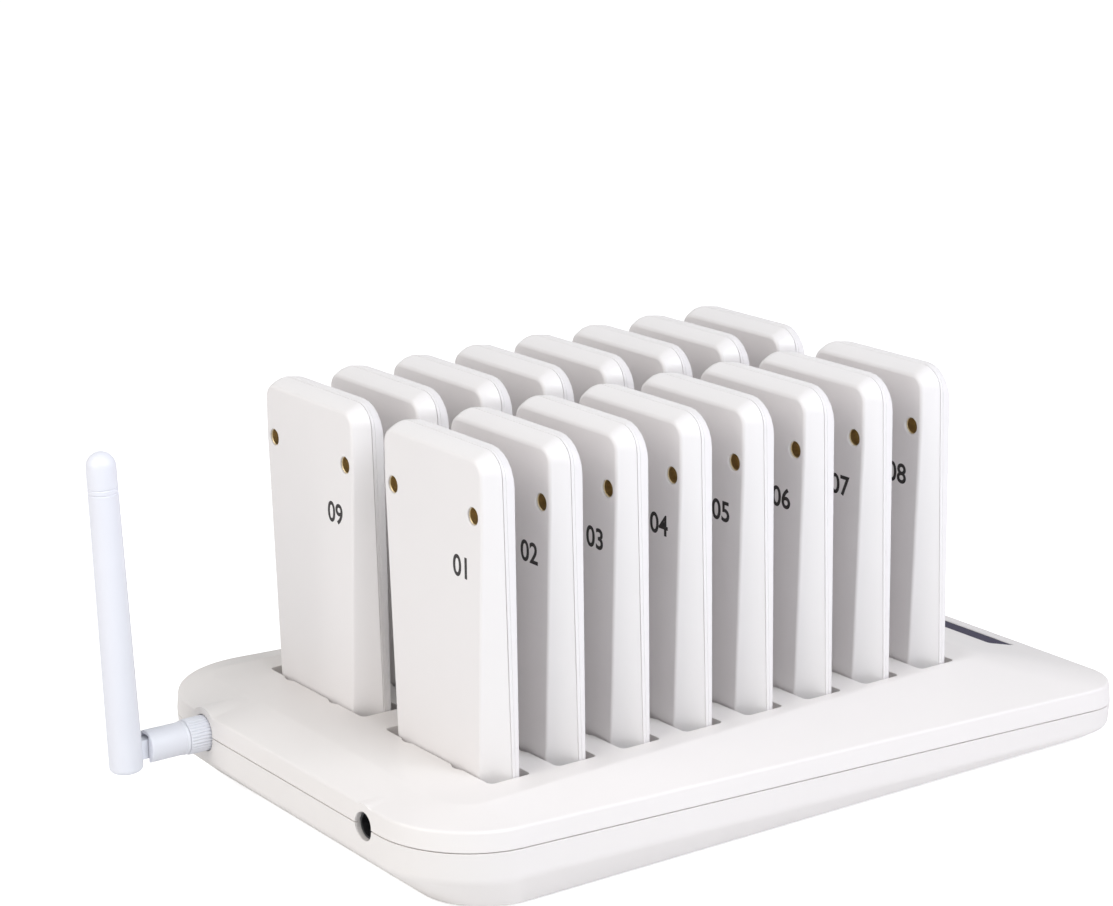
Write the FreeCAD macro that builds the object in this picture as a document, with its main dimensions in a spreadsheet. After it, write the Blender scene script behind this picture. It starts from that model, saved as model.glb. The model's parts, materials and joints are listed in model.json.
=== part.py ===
import FreeCAD, Part
import Sketcher
import math
import os

from FreeCAD import Placement, Rotation, Vector

# Guest pager system: a charging base that is also the transmitter, sixteen pagers standing in
# two rows of slots, a keypad panel at the +X end, and an antenna and a power jack at the -X end.
# Millimetres. The origin is on the table under the middle of the whole, antenna included, +Z up,
# +X towards the keypad end, +Y from the first row of pagers to the second.
# The pieces are drawn about the middle of the base's own outline, and each named sub-part is then
# moved by BASE_X.

SIZES = [
    # Base casing. "back" is the antenna end, "keypad" the other end. Heights are above the table.
    ("base_length", 257.0),
    ("base_width", 169.0),
    ("plateau_height", 28.5),
    ("edge_height_back", 26.5),
    ("edge_height_keypad", 17.2),
    ("parting_height_back", 20.7),
    ("parting_height_keypad", 10.8),
    ("lower_height_back", 11.4),
    ("lower_height_keypad", 3.6),
    ("edge_inset", 0.5),
    ("lower_inset", 0.6),
    ("corner_radius_back", 28.0),
    ("corner_radius_keypad", 16.0),
    ("plateau_inset_back", 16.5),
    ("plateau_inset_keypad", 41.5),
    ("plateau_inset_side_back", 14.0),
    ("plateau_inset_side_keypad", 24.0),
    ("plateau_corner_back", 10.0),
    ("plateau_corner_keypad", 8.0),
    ("bottom_inset_back", 12.0),
    ("bottom_inset_keypad", 7.0),
    ("bottom_inset_side", 4.5),
    ("bottom_corner_back", 20.0),
    ("bottom_corner_keypad", 12.0),
    ("wall", 2.2),
    ("roof", 2.4),
    ("cut_overrun", 1.0),
    # Pagers
    ("pager_depth", 9.9),
    ("pager_front_depth", 7.4),
    ("pager_rise", 92.4),
    ("pager_corner", 6.0),
    ("pager_rear_corner", 10.0),
    ("pager_face_corner", 3.5),
    ("pager_foot_corner", 3.0),
    ("pager_wall", 1.5),
    ("facet_top", 2.4),
    ("facet_end", 3.1),
    ("facet_foot", 6.7),
    ("row_gap", 12.7),
    ("row_side_margin", 24.65),
    ("first_pager_inset", 34.5),
    ("last_pager_inset", 55.1),
    ("rear_draft", 0.2),
    ("rear_rim", 0.4),
    ("screw_hole_radius", 2.5),
    ("screw_side_inset", 6.6),
    ("screw_rise", 74.5),
    ("screw_head_depth", 4.2),
    ("screw_head_length", 1.2),
    ("screw_shank_radius", 0.8),
    ("screw_boss_wall", 1.0),
    ("screw_clearance", 0.1),
    ("pager_back_wall", 1.0),
    ("pager_board_thickness", 1.0),
    ("pager_board_margin", 2.4),
    ("cell_length", 34.0),
    ("cell_width", 26.0),
    ("cell_thickness", 3.6),
    ("motor_radius", 2.0),
    ("motor_length", 11.0),
    ("contact_radius", 1.6),
    ("contact_spacing", 26.6),
    # Slots
    ("slot_depth", 14.0),
    ("slot_side_clearance", 0.35),
    ("slot_front_clearance", 0.5),
    ("slot_back_clearance", 3.1),
    ("slot_corner", 4.5),
    ("slot_back_corner", 1.3),
    ("slot_wall", 1.3),
    ("slot_floor", 1.4),
    ("notch_width", 7.5),
    ("notch_depth", 1.2),
    ("pin_radius", 0.9),
    ("pin_gap", 0.3),
    ("pin_hole_clearance", 0.2),
    # Boards in the base
    ("board_thickness", 1.6),
    ("charging_board_margin", 6.0),
    ("main_board_back_inset", 38.5),
    ("main_board_keypad_inset", 68.5),
    ("main_board_width", 90.0),
    ("main_board_post", 2.4),
    ("post_radius", 3.0),
    ("radio_length", 30.0),
    ("radio_width", 22.0),
    ("radio_height", 2.6),
    ("radio_end_inset", 15.0),
    ("radio_side_inset", 9.0),
    # Keypad panel. Distances down the slope are measured from the plateau's end.
    ("panel_start", 1.5),
    ("panel_run", 37.5),
    ("panel_side_margin", 20.5),
    ("panel_skin", 0.8),
    ("panel_space", 7.4),
    ("window_down", 27.8),
    ("window_across", -22.0),
    ("window_length", 40.0),
    ("window_width", 11.4),
    ("window_thickness", 1.4),
    ("window_sink", 0.2),
    ("window_clearance", 0.2),
    ("window_ledge", 1.6),
    ("display_length", 37.0),
    ("display_width", 12.6),
    ("display_gap", 0.3),
    ("key_down", 9.0),
    ("key_row_pitch", 11.5),
    ("key_across", 10.0),
    ("key_edge_inset", 18.0),
    ("key_gap", 2.6),
    ("key_length", 8.6),
    ("key_proud", 1.2),
    ("key_corner", 1.5),
    ("key_edge_round", 0.4),
    ("key_clearance", 0.3),
    ("key_flange", 0.5),
    ("key_flange_thickness", 0.8),
    ("key_travel", 1.0),
    ("key_press_gap", 0.2),
    ("switch_size", 6.0),
    ("switch_button_radius", 1.7),
    ("switch_button_height", 0.7),
    ("keypad_board_thickness", 1.2),
    ("keypad_board_margin", 1.0),
    ("keypad_post_radius", 2.5),
    ("keypad_post_inset", 3.5),
    # Power jack
    ("hole_axis_height", 20.6),
    ("jack_side_inset", 36.0),
    ("jack_hole_radius", 4.35),
    ("jack_arch_radius", 6.4),
    ("jack_body_width", 9.0),
    ("jack_body_height", 8.6),
    ("jack_body_length", 13.0),
    ("jack_nose_clearance", 0.25),
    ("jack_nose_recess", 0.8),
    ("jack_nose_length", 8.0),
    ("seat_wall", 1.5),
    ("jack_bore_radius", 3.15),
    ("jack_bore_depth", 9.5),
    ("jack_pin_radius", 1.0),
    ("jack_pin_length", 8.0),
    # Antenna
    ("antenna_side_inset", 43.0),
    ("antenna_hole_radius", 5.95),
    ("antenna_arch_radius", 7.7),
    ("arch_length", 18.0),
    ("socket_body_radius", 4.6),
    ("socket_body_length", 12.0),
    ("socket_thread_radius", 3.1),
    ("socket_bore_radius", 1.2),
    ("nut_radius", 5.4),
    ("nut_length", 9.0),
    ("nut_proud", 5.0),
    ("nut_thread_clearance", 0.08),
    ("nut_shoulder", 2.0),
    ("nut_face_gap", 0.1),
    ("nut_end_gap", 0.3),
    ("nut_collar_length", 1.4),
    ("knurl_depth", 0.35),
    ("elbow_radius", 5.0),
    ("elbow_length", 12.4),
    ("elbow_end_round", 0.8),
    ("elbow_neck_radius", 4.1),
    ("elbow_neck_length", 1.6),
    ("elbow_stem_radius", 2.5),
    ("elbow_stem_clearance", 0.08),
    ("elbow_stem_length", 2.6),
    ("fork_gap", 4.4),
    ("fork_depth", 8.6),
    ("hinge_pin_radius", 1.1),
    ("hinge_pin_sink", 0.3),
    ("hinge_pin_clearance", 0.06),
    ("hinge_pin_inset", 4.2),
    ("hinge_to_mast", 10.8),
    ("tongue_clearance", 0.3),
    ("tongue_radius", 3.6),
    ("mast_radius", 5.2),
    ("mast_top_radius", 4.4),
    ("mast_below", 7.2),
    ("mast_above", 91.4),
    ("mast_foot_round", 1.6),
    ("mast_lean_degrees", 2.0),
    ("ring_groove_depth", 0.3),
    ("ring_groove_width", 0.5),
    ("ring_groove_spacing", 1.5),
    ("ring_groove_from_top", 10.7),
    # Feet and screws
    ("foot_height", 1.5),
    ("foot_radius", 6.0),
    ("foot_recess", 1.0),
    ("foot_inset", 32.0),
    ("foot_clearance", 0.1),
    ("case_screw_radius", 1.5),
    ("case_screw_head_radius", 2.8),
    ("case_screw_head_length", 1.8),
    ("case_screw_length", 10.0),
    ("case_screw_back_inset", 22.0),
    ("case_screw_side_inset", 12.0),
    ("case_screw_keypad_inset", 15.0),
    ("case_screw_clearance", 0.15),
    ("boss_wall", 1.8),
]

PAGERS_PER_ROW = 8
KNURLS = 36
KEY_ROWS = (
    ("key_1", "key_2", "key_3", "key_clear"),
    ("key_4", "key_5", "key_6", "key_0"),
    ("key_7", "key_8", "key_9", "key_call"),
)
SIDES = ("-", "")
X_WAY = Vector(1, 0, 0)
Y_WAY = Vector(0, 1, 0)

doc = FreeCAD.newDocument("GuestPagerSystem")
sheet = doc.addObject("Spreadsheet::Sheet", "Sizes")
for row, (alias, number) in enumerate(SIZES, start=1):
    sheet.set("A%d" % row, alias)
    sheet.set("B%d" % row, str(number))
    sheet.setAlias("B%d" % row, alias)
doc.recompute()

# Sizes that follow from others. Each may use those above it. The pagers fill what the margins leave
# of the base, the jack and the antenna keep their distance from its sides, and the keys theirs from
# the panel's edge.
FOLLOWING = {
    "pager_pitch": "({base_length} - {first_pager_inset} - {pager_depth} - {last_pager_inset}) / %d"
                   % (PAGERS_PER_ROW - 1),
    "pager_width": "({base_width} - 2 * {row_side_margin} - {row_gap}) / 2",
    "row_offset": "({pager_width} + {row_gap}) / 2",
    "screw_spacing": "{pager_width} - 2 * {screw_side_inset}",
    "main_board_length": "{base_length} - {main_board_back_inset} - {main_board_keypad_inset}",
    "main_board_x": "({main_board_back_inset} - {main_board_keypad_inset}) / 2",
    "radio_x": "{main_board_x} - {main_board_length} / 2 + {radio_end_inset} + {radio_length} / 2",
    "radio_y": "{main_board_width} / 2 - {radio_side_inset} - {radio_width} / 2",
    "jack_offset": "{base_width} / 2 - {jack_side_inset}",
    "antenna_offset": "{base_width} / 2 - {antenna_side_inset}",
    "panel_half_width": "{base_width} / 2 - {panel_side_margin}",
    "key_pitch": "({panel_half_width} - {key_edge_inset} - {key_across}) / %d" % (len(KEY_ROWS[0]) - 1),
    "key_width": "{key_pitch} - {key_gap}",
}

# Places shared by several pieces, as expressions. A word in braces stands for a size.
ANTENNA_REACH = ("({nut_proud} + {nut_face_gap} + {elbow_neck_length} + {elbow_length} - {hinge_pin_inset}"
                 " + {hinge_to_mast} * cos({mast_lean_degrees})"
                 " + ({mast_above} - {mast_top_radius}) * sin({mast_lean_degrees}) + {mast_top_radius})")
BASE_X = "(%s / 2)" % ANTENNA_REACH
BACK_X = "(-{base_length} / 2)"
KEYPAD_X = "({base_length} / 2)"
FIRST_FRONT_X = "(-{base_length} / 2 + {first_pager_inset})"
SLOT_FLOOR_Z = "({plateau_height} - {slot_depth})"
WELL_FOOT_Z = "({plateau_height} - {slot_depth} - {slot_floor})"
FLOOR_Z = "({foot_height} + {wall})"
MAIN_BOARD_Z = "(%s + {main_board_post})" % FLOOR_Z
AXIS_Z = "{hole_axis_height}"
PANEL_DROP = "({plateau_height} - {edge_height_keypad})"
PANEL_REACH = "({plateau_inset_keypad} - {edge_inset})"
PANEL_ANGLE = "atan(%s / %s)" % (PANEL_DROP, PANEL_REACH)
PANEL_FOOT = "({panel_start} + {panel_run})"
BOARD_DEPTH = "({roof} + {panel_space} - {keypad_board_thickness})"
PIN_X = "(%s - {nut_proud} - {nut_face_gap} - {elbow_neck_length} - {elbow_length} + {hinge_pin_inset})" % BACK_X

nodes = []


def size(alias):
    return float(sheet.get(alias))


def bind(thing, prop, expression):
    """Tie a property to the sheet."""
    for name, sense in reversed(FOLLOWING.items()):
        expression = expression.replace("{%s}" % name, "(%s)" % sense)
    thing.setExpression(prop, expression.replace("{", "Sizes.").replace("}", ""))


def bind_base(thing, x="0", y="0", z="0"):
    bind(thing, "Placement.Base.x", x)
    bind(thing, "Placement.Base.y", y)
    bind(thing, "Placement.Base.z", z)


def box(name, length, width, height, x="0", y="0", z="0"):
    """A box whose middle is at x and y, standing on z."""
    thing = doc.addObject("Part::Box", name)
    bind(thing, "Length", length)
    bind(thing, "Width", width)
    bind(thing, "Height", height)
    bind_base(thing, "(%s) - (%s) / 2" % (x, length), "(%s) - (%s) / 2" % (y, width), z)
    return thing


def cylinder(name, radius, height, x="0", y="0", z="0", along=Vector(0, 0, 1)):
    thing = doc.addObject("Part::Cylinder", name)
    thing.Placement = Placement(Vector(), Rotation(Vector(0, 0, 1), along))
    bind(thing, "Radius", radius)
    bind(thing, "Height", height)
    bind_base(thing, x, y, z)
    return thing


def cut(name, base, tool):
    thing = doc.addObject("Part::Cut", name)
    thing.Base = base
    thing.Tool = tool
    return thing


def common(name, base, tool):
    thing = doc.addObject("Part::Common", name)
    thing.Base = base
    thing.Tool = tool
    return thing


def fuse(name, things):
    thing = doc.addObject("Part::MultiFuse", name)
    thing.Shapes = things
    thing.Refine = True
    return thing


def group(name, things):
    thing = doc.addObject("Part::Compound", name)
    thing.Links = things
    return thing


def form(name, shape):
    thing = doc.addObject("Part::Feature", name)
    thing.Shape = shape
    return thing


def node(label, things, x="0", y="0", z="0"):
    """A named sub-part, moved from the base's own middle to the object's origin."""
    thing = group(label, things)
    bind_base(thing, "%s + %s" % (BASE_X, x), y, z)
    nodes.append(thing)
    return thing


def on_panel(thing, down="0", across="0"):
    """Lay a piece drawn flat, +X down the slope and +Z outward, on the keypad panel."""
    thing.Placement = Placement(Vector(), Rotation(Y_WAY, 1))
    bind(thing, "Placement.Rotation.Angle", PANEL_ANGLE)
    bind_base(thing, "%s - {plateau_inset_keypad} + (%s) * cos(%s)" % (KEYPAD_X, down, PANEL_ANGLE),
              across, "{plateau_height} - (%s) * sin(%s)" % (down, PANEL_ANGLE))
    return thing


def rounded_outline(corners, place):
    """A closed wire through corners (x, y, radius). place turns a flat point into one in space."""
    ends = []
    edges = []
    for i, (x, y, radius) in enumerate(corners):
        here = Vector(x, y, 0)
        before = Vector(corners[i - 1][0], corners[i - 1][1], 0) - here
        after = Vector(corners[(i + 1) % len(corners)][0], corners[(i + 1) % len(corners)][1], 0) - here
        before.normalize()
        after.normalize()
        half_turn = before.getAngle(after) / 2
        first = here + before * (radius / math.tan(half_turn))
        last = here + after * (radius / math.tan(half_turn))
        ends.append((place(first), place(last)))
        if radius:
            inward = before + after
            inward.normalize()
            middle = here + inward * (radius / math.sin(half_turn) - radius)
            edges.append(Part.Arc(place(first), place(middle), place(last)).toShape())
    lines = [Part.LineSegment(ends[i - 1][1], ends[i][0]).toShape() for i in range(len(corners))]
    return Part.Wire(Part.__sortEdges__(lines + edges))


def solid_between(outlines):
    return Part.makeLoft(outlines, True, True)


# Outside and inside of the casing

def four_corners(x_low, x_high, half_low, half_high, radius_low, radius_high):
    return [(x_low, -half_low, radius_low), (x_high, -half_high, radius_high),
            (x_high, half_high, radius_high), (x_low, half_low, radius_low)]


def rim_outline(inset, height_back, height_keypad):
    """The casing's outline at a level that slopes from the back end to the keypad end."""
    length = size("base_length")
    half_length = length / 2
    half_width = size("base_width") / 2 - inset
    corners = four_corners(-half_length + inset, half_length - inset, half_width, half_width,
                           size("corner_radius_back") - inset, size("corner_radius_keypad") - inset)
    fall = (height_keypad - height_back) / length
    return rounded_outline(corners, lambda p: Vector(p.x, p.y, height_back + fall * (p.x + half_length)))


def plateau_outline(height):
    half_length = size("base_length") / 2
    half_width = size("base_width") / 2
    corners = four_corners(-half_length + size("plateau_inset_back"),
                           half_length - size("plateau_inset_keypad"),
                           half_width - size("plateau_inset_side_back"),
                           half_width - size("plateau_inset_side_keypad"),
                           size("plateau_corner_back"), size("plateau_corner_keypad"))
    return rounded_outline(corners, lambda p: Vector(p.x, p.y, height))


def bottom_outline(inset, height):
    half_length = size("base_length") / 2
    half_width = size("base_width") / 2 - size("bottom_inset_side") - inset
    corners = four_corners(-half_length + size("bottom_inset_back") + inset,
                           half_length - size("bottom_inset_keypad") - inset, half_width, half_width,
                           size("bottom_corner_back") - inset, size("bottom_corner_keypad") - inset)
    return rounded_outline(corners, lambda p: Vector(p.x, p.y, height))


def upper_form():
    """The top cover's outside: side band, sloped band, keypad panel and plateau."""
    return solid_between([
        rim_outline(0, size("parting_height_back"), size("parting_height_keypad")),
        rim_outline(size("edge_inset"), size("edge_height_back"), size("edge_height_keypad")),
        plateau_outline(size("plateau_height"))])


def upper_hollow():
    wall = size("wall")
    over = size("cut_overrun")
    return solid_between([
        rim_outline(wall, size("parting_height_back") - over, size("parting_height_keypad") - over),
        rim_outline(size("edge_inset") + wall, size("edge_height_back") - wall,
                    size("edge_height_keypad") - wall),
        plateau_outline(size("plateau_height") - size("roof"))])


def below_parting():
    """Everything under the parting surface, and a little beyond the casing's outline."""
    over = size("cut_overrun")
    return solid_between([
        rim_outline(-over, 0, 0),
        rim_outline(-over, size("parting_height_back"), size("parting_height_keypad"))])


def lower_form():
    """The bottom cover's outside: side band, lower bevel and flat bottom."""
    return solid_between([
        bottom_outline(0, size("foot_height")),
        rim_outline(size("lower_inset"), size("lower_height_back"), size("lower_height_keypad")),
        rim_outline(0, size("parting_height_back"), size("parting_height_keypad"))])


def lower_hollow():
    wall = size("wall")
    over = size("cut_overrun")
    floor = size("foot_height") + wall
    return solid_between([
        bottom_outline(wall, floor),
        rim_outline(size("lower_inset") + wall, max(size("lower_height_back"), floor + wall),
                    max(size("lower_height_keypad"), floor + wall)),
        rim_outline(wall, size("parting_height_back") + over, size("parting_height_keypad") + over)])


# Turned pieces

def body_sketch(body, name, role):
    """A sketch on one of its own body's origin planes."""
    sketch = body.newObject("Sketcher::SketchObject", name)
    plane = [plane for plane in body.Origin.OriginFeatures if plane.Role == role][0]
    sketch.AttachmentSupport = (plane, [""])
    sketch.MapMode = "FlatFace"
    return sketch


def hold_point(sketch, line, way, expression):
    """Hold the first point of a line on an axis or at a distance from it."""
    if expression == "0":
        sketch.addConstraint(Sketcher.Constraint("PointOnObject", line, 1, -2 if way == "X" else -1))
        return
    name = "%s%d" % (way, line)
    index = sketch.addConstraint(Sketcher.Constraint("Distance" + way, -1, 1, line, 1, 1.0))
    sketch.renameConstraint(index, name)
    bind(sketch, "Constraints." + name, expression)


def turned(name, outline):
    """A piece turned about its own Z axis, from (radius, height) expressions in order."""
    body = doc.addObject("PartDesign::Body", name)
    sketch = body_sketch(body, name + "_profile", "XZ_Plane")
    count = len(outline)
    start = [Vector(math.cos(2 * math.pi * i / count), math.sin(2 * math.pi * i / count), 0)
             for i in range(count)]
    for i in range(count):
        sketch.addGeometry(Part.LineSegment(start[i], start[(i + 1) % count]), False)
    for i in range(count):
        sketch.addConstraint(Sketcher.Constraint("Coincident", i, 2, (i + 1) % count, 1))
    for i, (radius, height) in enumerate(outline):
        hold_point(sketch, i, "X", radius)
        hold_point(sketch, i, "Y", height)
    turning = body.newObject("PartDesign::Revolution", name + "_turning")
    turning.Profile = sketch
    turning.ReferenceAxis = (sketch, ["V_Axis"])
    turning.Angle = 360
    sketch.Visibility = False
    return body


def along_x(thing, way, x, y, z):
    """Lay a piece turned about Z along X, its +Z end towards +X or -X."""
    thing.Placement = Placement(Vector(), Rotation(Y_WAY, 90 * way))
    bind_base(thing, x, y, z)
    return thing


# Pagers, drawn with the middle of the front face's foot at the origin and the back towards +X

def pager_outline(inset, depth, facet_foot, facet_top, facet_end, corner):
    """A pager's outline at one depth: sides that spread from the foot up to the screw holes."""
    half = (size("base_width") / 2 - size("row_side_margin") - size("row_gap") / 2) / 2 - inset
    top = size("slot_depth") + size("pager_rise") - inset - facet_end
    kink = size("slot_depth") + size("screw_rise")
    foot_corner = size("pager_foot_corner")
    corners = [(inset, -half + facet_foot, foot_corner), (kink, -half + facet_top, 0),
               (top, -half + facet_top, corner), (top, half - facet_top, corner),
               (kink, half - facet_top, 0), (inset, half - facet_foot, foot_corner)]
    return rounded_outline(corners, lambda p: Vector(depth, p.y, p.x))


def face_outline(inset, depth):
    return pager_outline(inset, depth, size("facet_foot"), size("facet_top"), size("facet_end"),
                         size("pager_face_corner"))


def seam_outline(inset, depth):
    return pager_outline(inset, depth, 0, 0, 0, size("pager_corner") - inset)


def rear_outline(inset, depth):
    return pager_outline(inset, depth, 0, 0, 0, size("pager_rear_corner") - inset)


def pager_bosses(name, start, length):
    return [cylinder("%s_%d" % (name, number), "{screw_hole_radius} + {screw_boss_wall}", length,
                     start, side + "{screw_spacing} / 2", "{slot_depth} + {screw_rise}", X_WAY)
            for number, side in enumerate(SIDES, start=1)]


def pager_bores(name, radius, start, length):
    return [cylinder("%s_%d" % (name, number), radius, length,
                     start, side + "{screw_spacing} / 2", "{slot_depth} + {screw_rise}", X_WAY)
            for number, side in enumerate(SIDES, start=1)]


def pager_front_shell():
    """The front shell: flat face, bevelled all round, hollow behind, with two screw bosses."""
    wall = size("pager_wall")
    depth = size("pager_front_depth")
    over = size("cut_overrun")
    outer = solid_between([face_outline(0, 0), seam_outline(0, depth)])
    inner = solid_between([face_outline(wall, wall), seam_outline(wall, depth)])
    mouth = solid_between([seam_outline(wall, depth), seam_outline(wall, depth + over)])
    shell = form("front_shell_form", outer.cut(inner.fuse(mouth)))
    holes = pager_bores("front_head_bore", "{screw_hole_radius}", "-{cut_overrun}",
                        "{screw_head_depth} + {screw_head_length} + {cut_overrun}")
    holes += pager_bores("front_shank_bore", "{screw_shank_radius} + {screw_clearance}", "-{cut_overrun}",
                         "{pager_front_depth} + 2 * {cut_overrun}")
    for number, side in enumerate(SIDES, start=1):
        holes.append(cylinder("front_contact_bore_%d" % number, "{contact_radius} + {screw_clearance}",
                              "{pager_wall} + 2 * {cut_overrun}", "{pager_depth} / 2",
                              side + "{contact_spacing} / 2", "-{cut_overrun}"))
    solid = fuse("front_solid", [shell] + pager_bosses("front_boss", "0", "{pager_front_depth}"))
    return cut("front_shell", solid, fuse("front_bores", holes))


def pager_rear_shell():
    """The rear shell: a shallow tray with a bevelled rim that carries the board and the cell."""
    depth = size("pager_front_depth")
    full = size("pager_depth")
    draft, rim = size("rear_draft"), size("rear_rim")
    wall = size("pager_wall")
    floor = full - size("pager_back_wall")
    over = size("cut_overrun")
    outer = solid_between([seam_outline(0, depth), rear_outline(draft, full - rim), rear_outline(draft + rim, full)])
    inner = solid_between([rear_outline(wall, depth - over), rear_outline(wall, floor)])
    shell = form("rear_shell_form", outer.cut(inner))
    bosses = pager_bosses("rear_boss", "{pager_front_depth}",
                          "{pager_depth} - {pager_front_depth} - {pager_back_wall} / 2")
    bores = pager_bores("rear_bore", "{screw_shank_radius} + {screw_clearance}",
                        "{pager_front_depth} - {cut_overrun}",
                        "{pager_depth} - {pager_front_depth} - {pager_back_wall} + {cut_overrun}")
    return cut("rear_shell", fuse("rear_solid", [shell] + bosses), fuse("rear_bores", bores))


def pager_inside():
    """Board, cell, motor, two screws and two contacts, each a separate solid."""
    board_face = "({pager_depth} - {pager_back_wall} - {pager_board_thickness})"
    foot = "({pager_wall} + {pager_board_margin})"
    screw_z = "({slot_depth} + {screw_rise})"
    pieces = [
        box("pager_board", "{pager_board_thickness}",
            "{pager_width} - 2 * {pager_wall} - 2 * {pager_board_margin}",
            "%s - 2 * {screw_hole_radius} - 2 * {screw_boss_wall} - %s" % (screw_z, foot),
            "%s + {pager_board_thickness} / 2" % board_face, "0", foot),
        box("pager_cell", "{cell_thickness}", "{cell_width}", "{cell_length}",
            "%s - {cell_thickness} / 2" % board_face, "0", "{slot_depth} + %s" % foot),
        cylinder("pager_motor", "{motor_radius}", "{motor_length}",
                 "%s - {motor_radius} - {screw_clearance}" % board_face, "-{motor_length} / 2",
                 "{slot_depth} + %s + {cell_length} + 2 * {motor_radius}" % foot, Y_WAY),
    ]
    screw_end = "{pager_depth} - {screw_head_depth} - {pager_back_wall} - {screw_clearance}"
    for number, side in enumerate(SIDES, start=1):
        screw = turned("pager_screw_%d" % number, [
            ("0", "0"), ("{screw_hole_radius} - {screw_clearance}", "0"),
            ("{screw_hole_radius} - {screw_clearance}", "{screw_head_length}"),
            ("{screw_shank_radius}", "{screw_head_length}"),
            ("{screw_shank_radius}", screw_end), ("0", screw_end)])
        pieces.append(along_x(screw, 1, "{screw_head_depth}", side + "{screw_spacing} / 2", screw_z))
        pieces.append(cylinder("pager_contact_%d" % number, "{contact_radius}", "{pager_wall}",
                               "{pager_depth} / 2", side + "{contact_spacing} / 2"))
    return pieces


def make_pagers():
    front = pager_front_shell()
    rear = [pager_rear_shell()] + pager_inside()
    for row, side in enumerate(SIDES):
        for column in range(PAGERS_PER_ROW):
            number = row * PAGERS_PER_ROW + column + 1
            place = ("%s + %d * {pager_pitch}" % (FIRST_FRONT_X, column), side + "{row_offset}", SLOT_FLOOR_Z)
            node("pager_%02d_front_shell" % number, [front], *place)
            node("pager_%02d_rear_assembly" % number, rear, *place)


# Slots of the top cover, drawn about the middle of their pager's front face

SLOT_LENGTH = "({pager_depth} + {slot_front_clearance} + {slot_back_clearance})"
SLOT_WIDTH = "({pager_width} + 2 * {slot_side_clearance})"


def upright_edges(shape, x):
    """Numbers of the upright edges that stand at one X."""
    close = shape.BoundBox.XLength / 100
    return [number for number, edge in enumerate(shape.Edges, start=1)
            if edge.BoundBox.ZLength > close and abs(edge.CenterOfMass.x - x) < close]


def slot_space():
    """The hollow that takes one pager: round corners in front, two shallow notches, pin holes."""
    middle = "-{slot_front_clearance} + %s / 2" % SLOT_LENGTH
    hollow = box("slot_hollow", SLOT_LENGTH, SLOT_WIDTH, "{slot_depth} + {cut_overrun}", middle, "0",
                 SLOT_FLOOR_Z)
    doc.recompute()
    front = upright_edges(hollow.Shape, -size("slot_front_clearance"))
    back = upright_edges(hollow.Shape, size("pager_depth") + size("slot_back_clearance"))
    rounded = doc.addObject("Part::Fillet", "slot_rounded")
    rounded.Base = hollow
    rounded.Edges = ([(edge, size("slot_corner"), size("slot_corner")) for edge in front] +
                     [(edge, size("slot_back_corner"), size("slot_back_corner")) for edge in back])
    pieces = [rounded]
    for number, side in enumerate(SIDES, start=1):
        across = side + "{contact_spacing} / 2"
        pieces.append(box("slot_notch_%d" % number, "2 * {notch_depth}", "{notch_width}",
                          "{slot_depth} + {cut_overrun}", "-{slot_front_clearance}", across, SLOT_FLOOR_Z))
        pieces.append(cylinder("slot_pin_hole_%d" % number, "{pin_radius} + {pin_hole_clearance}",
                               "{slot_floor} + 2 * {cut_overrun}", "{pager_depth} / 2", across,
                               "%s - {cut_overrun}" % WELL_FOOT_Z))
    return fuse("slot_space", pieces)


def slot_well():
    """The walls and floor round one slot."""
    length = "(%s + {notch_depth} + 2 * {slot_wall})" % SLOT_LENGTH
    return box("slot_well", length, "%s + 2 * {slot_wall}" % SLOT_WIDTH,
               "{slot_depth} + {slot_floor} - {roof} / 2",
               "%s / 2 - {slot_front_clearance} - {notch_depth} - {slot_wall}" % length, "0", WELL_FOOT_Z)


def in_every_slot(name, thing):
    """Copies of a piece, one at each of the sixteen slots."""
    copies = []
    for row, side in enumerate(SIDES, start=1):
        for column in range(PAGERS_PER_ROW):
            copy = group("%s_%d_%d" % (name, row, column + 1), [thing])
            bind_base(copy, "%s + %d * {pager_pitch}" % (FIRST_FRONT_X, column), side + "{row_offset}")
            copies.append(copy)
    return copies


# Screw bosses, end holes and the keypad panel

def screw_places():
    """Places of the eight case screws as (x, y) expressions."""
    places = []
    for side in SIDES:
        places.append(("(%s + {case_screw_back_inset})" % BACK_X,
                       side + "({base_width} / 2 - {case_screw_back_inset})"))
        for share in ("-{base_length} / 6", "{base_length} / 6"):
            places.append((share, side + "({base_width} / 2 - {case_screw_side_inset})"))
        places.append(("(%s - {case_screw_keypad_inset})" % KEYPAD_X,
                       side + "({base_width} / 2 - {case_screw_keypad_inset})"))
    return places


def seat_height(x):
    """Where a case screw's head seats: half a screw's length under the parting line."""
    return ("({parting_height_back} + ({parting_height_keypad} - {parting_height_back})"
            " * (%s + {base_length} / 2) / {base_length} - {case_screw_length} / 2)" % x)


def screw_bosses(name):
    radius = "{case_screw_head_radius} + {case_screw_clearance} + {boss_wall}"
    return fuse(name, [cylinder("%s_%d" % (name, number), radius, "{plateau_height}", x, y, "{foot_height}")
                       for number, (x, y) in enumerate(screw_places(), start=1)])


def screw_bores(name):
    """Clearance for each screw's shank, and for its head from the underside up to the seat."""
    bores = []
    for number, (x, y) in enumerate(screw_places(), start=1):
        bores.append(cylinder("%s_shank_%d" % (name, number), "{case_screw_radius} + {case_screw_clearance}",
                              "{case_screw_length} + {case_screw_clearance}", x, y, seat_height(x)))
        bores.append(cylinder("%s_head_%d" % (name, number), "{case_screw_head_radius} + {case_screw_clearance}",
                              "%s + {cut_overrun}" % seat_height(x), x, y, "-{cut_overrun}"))
    return fuse(name, bores)


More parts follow.
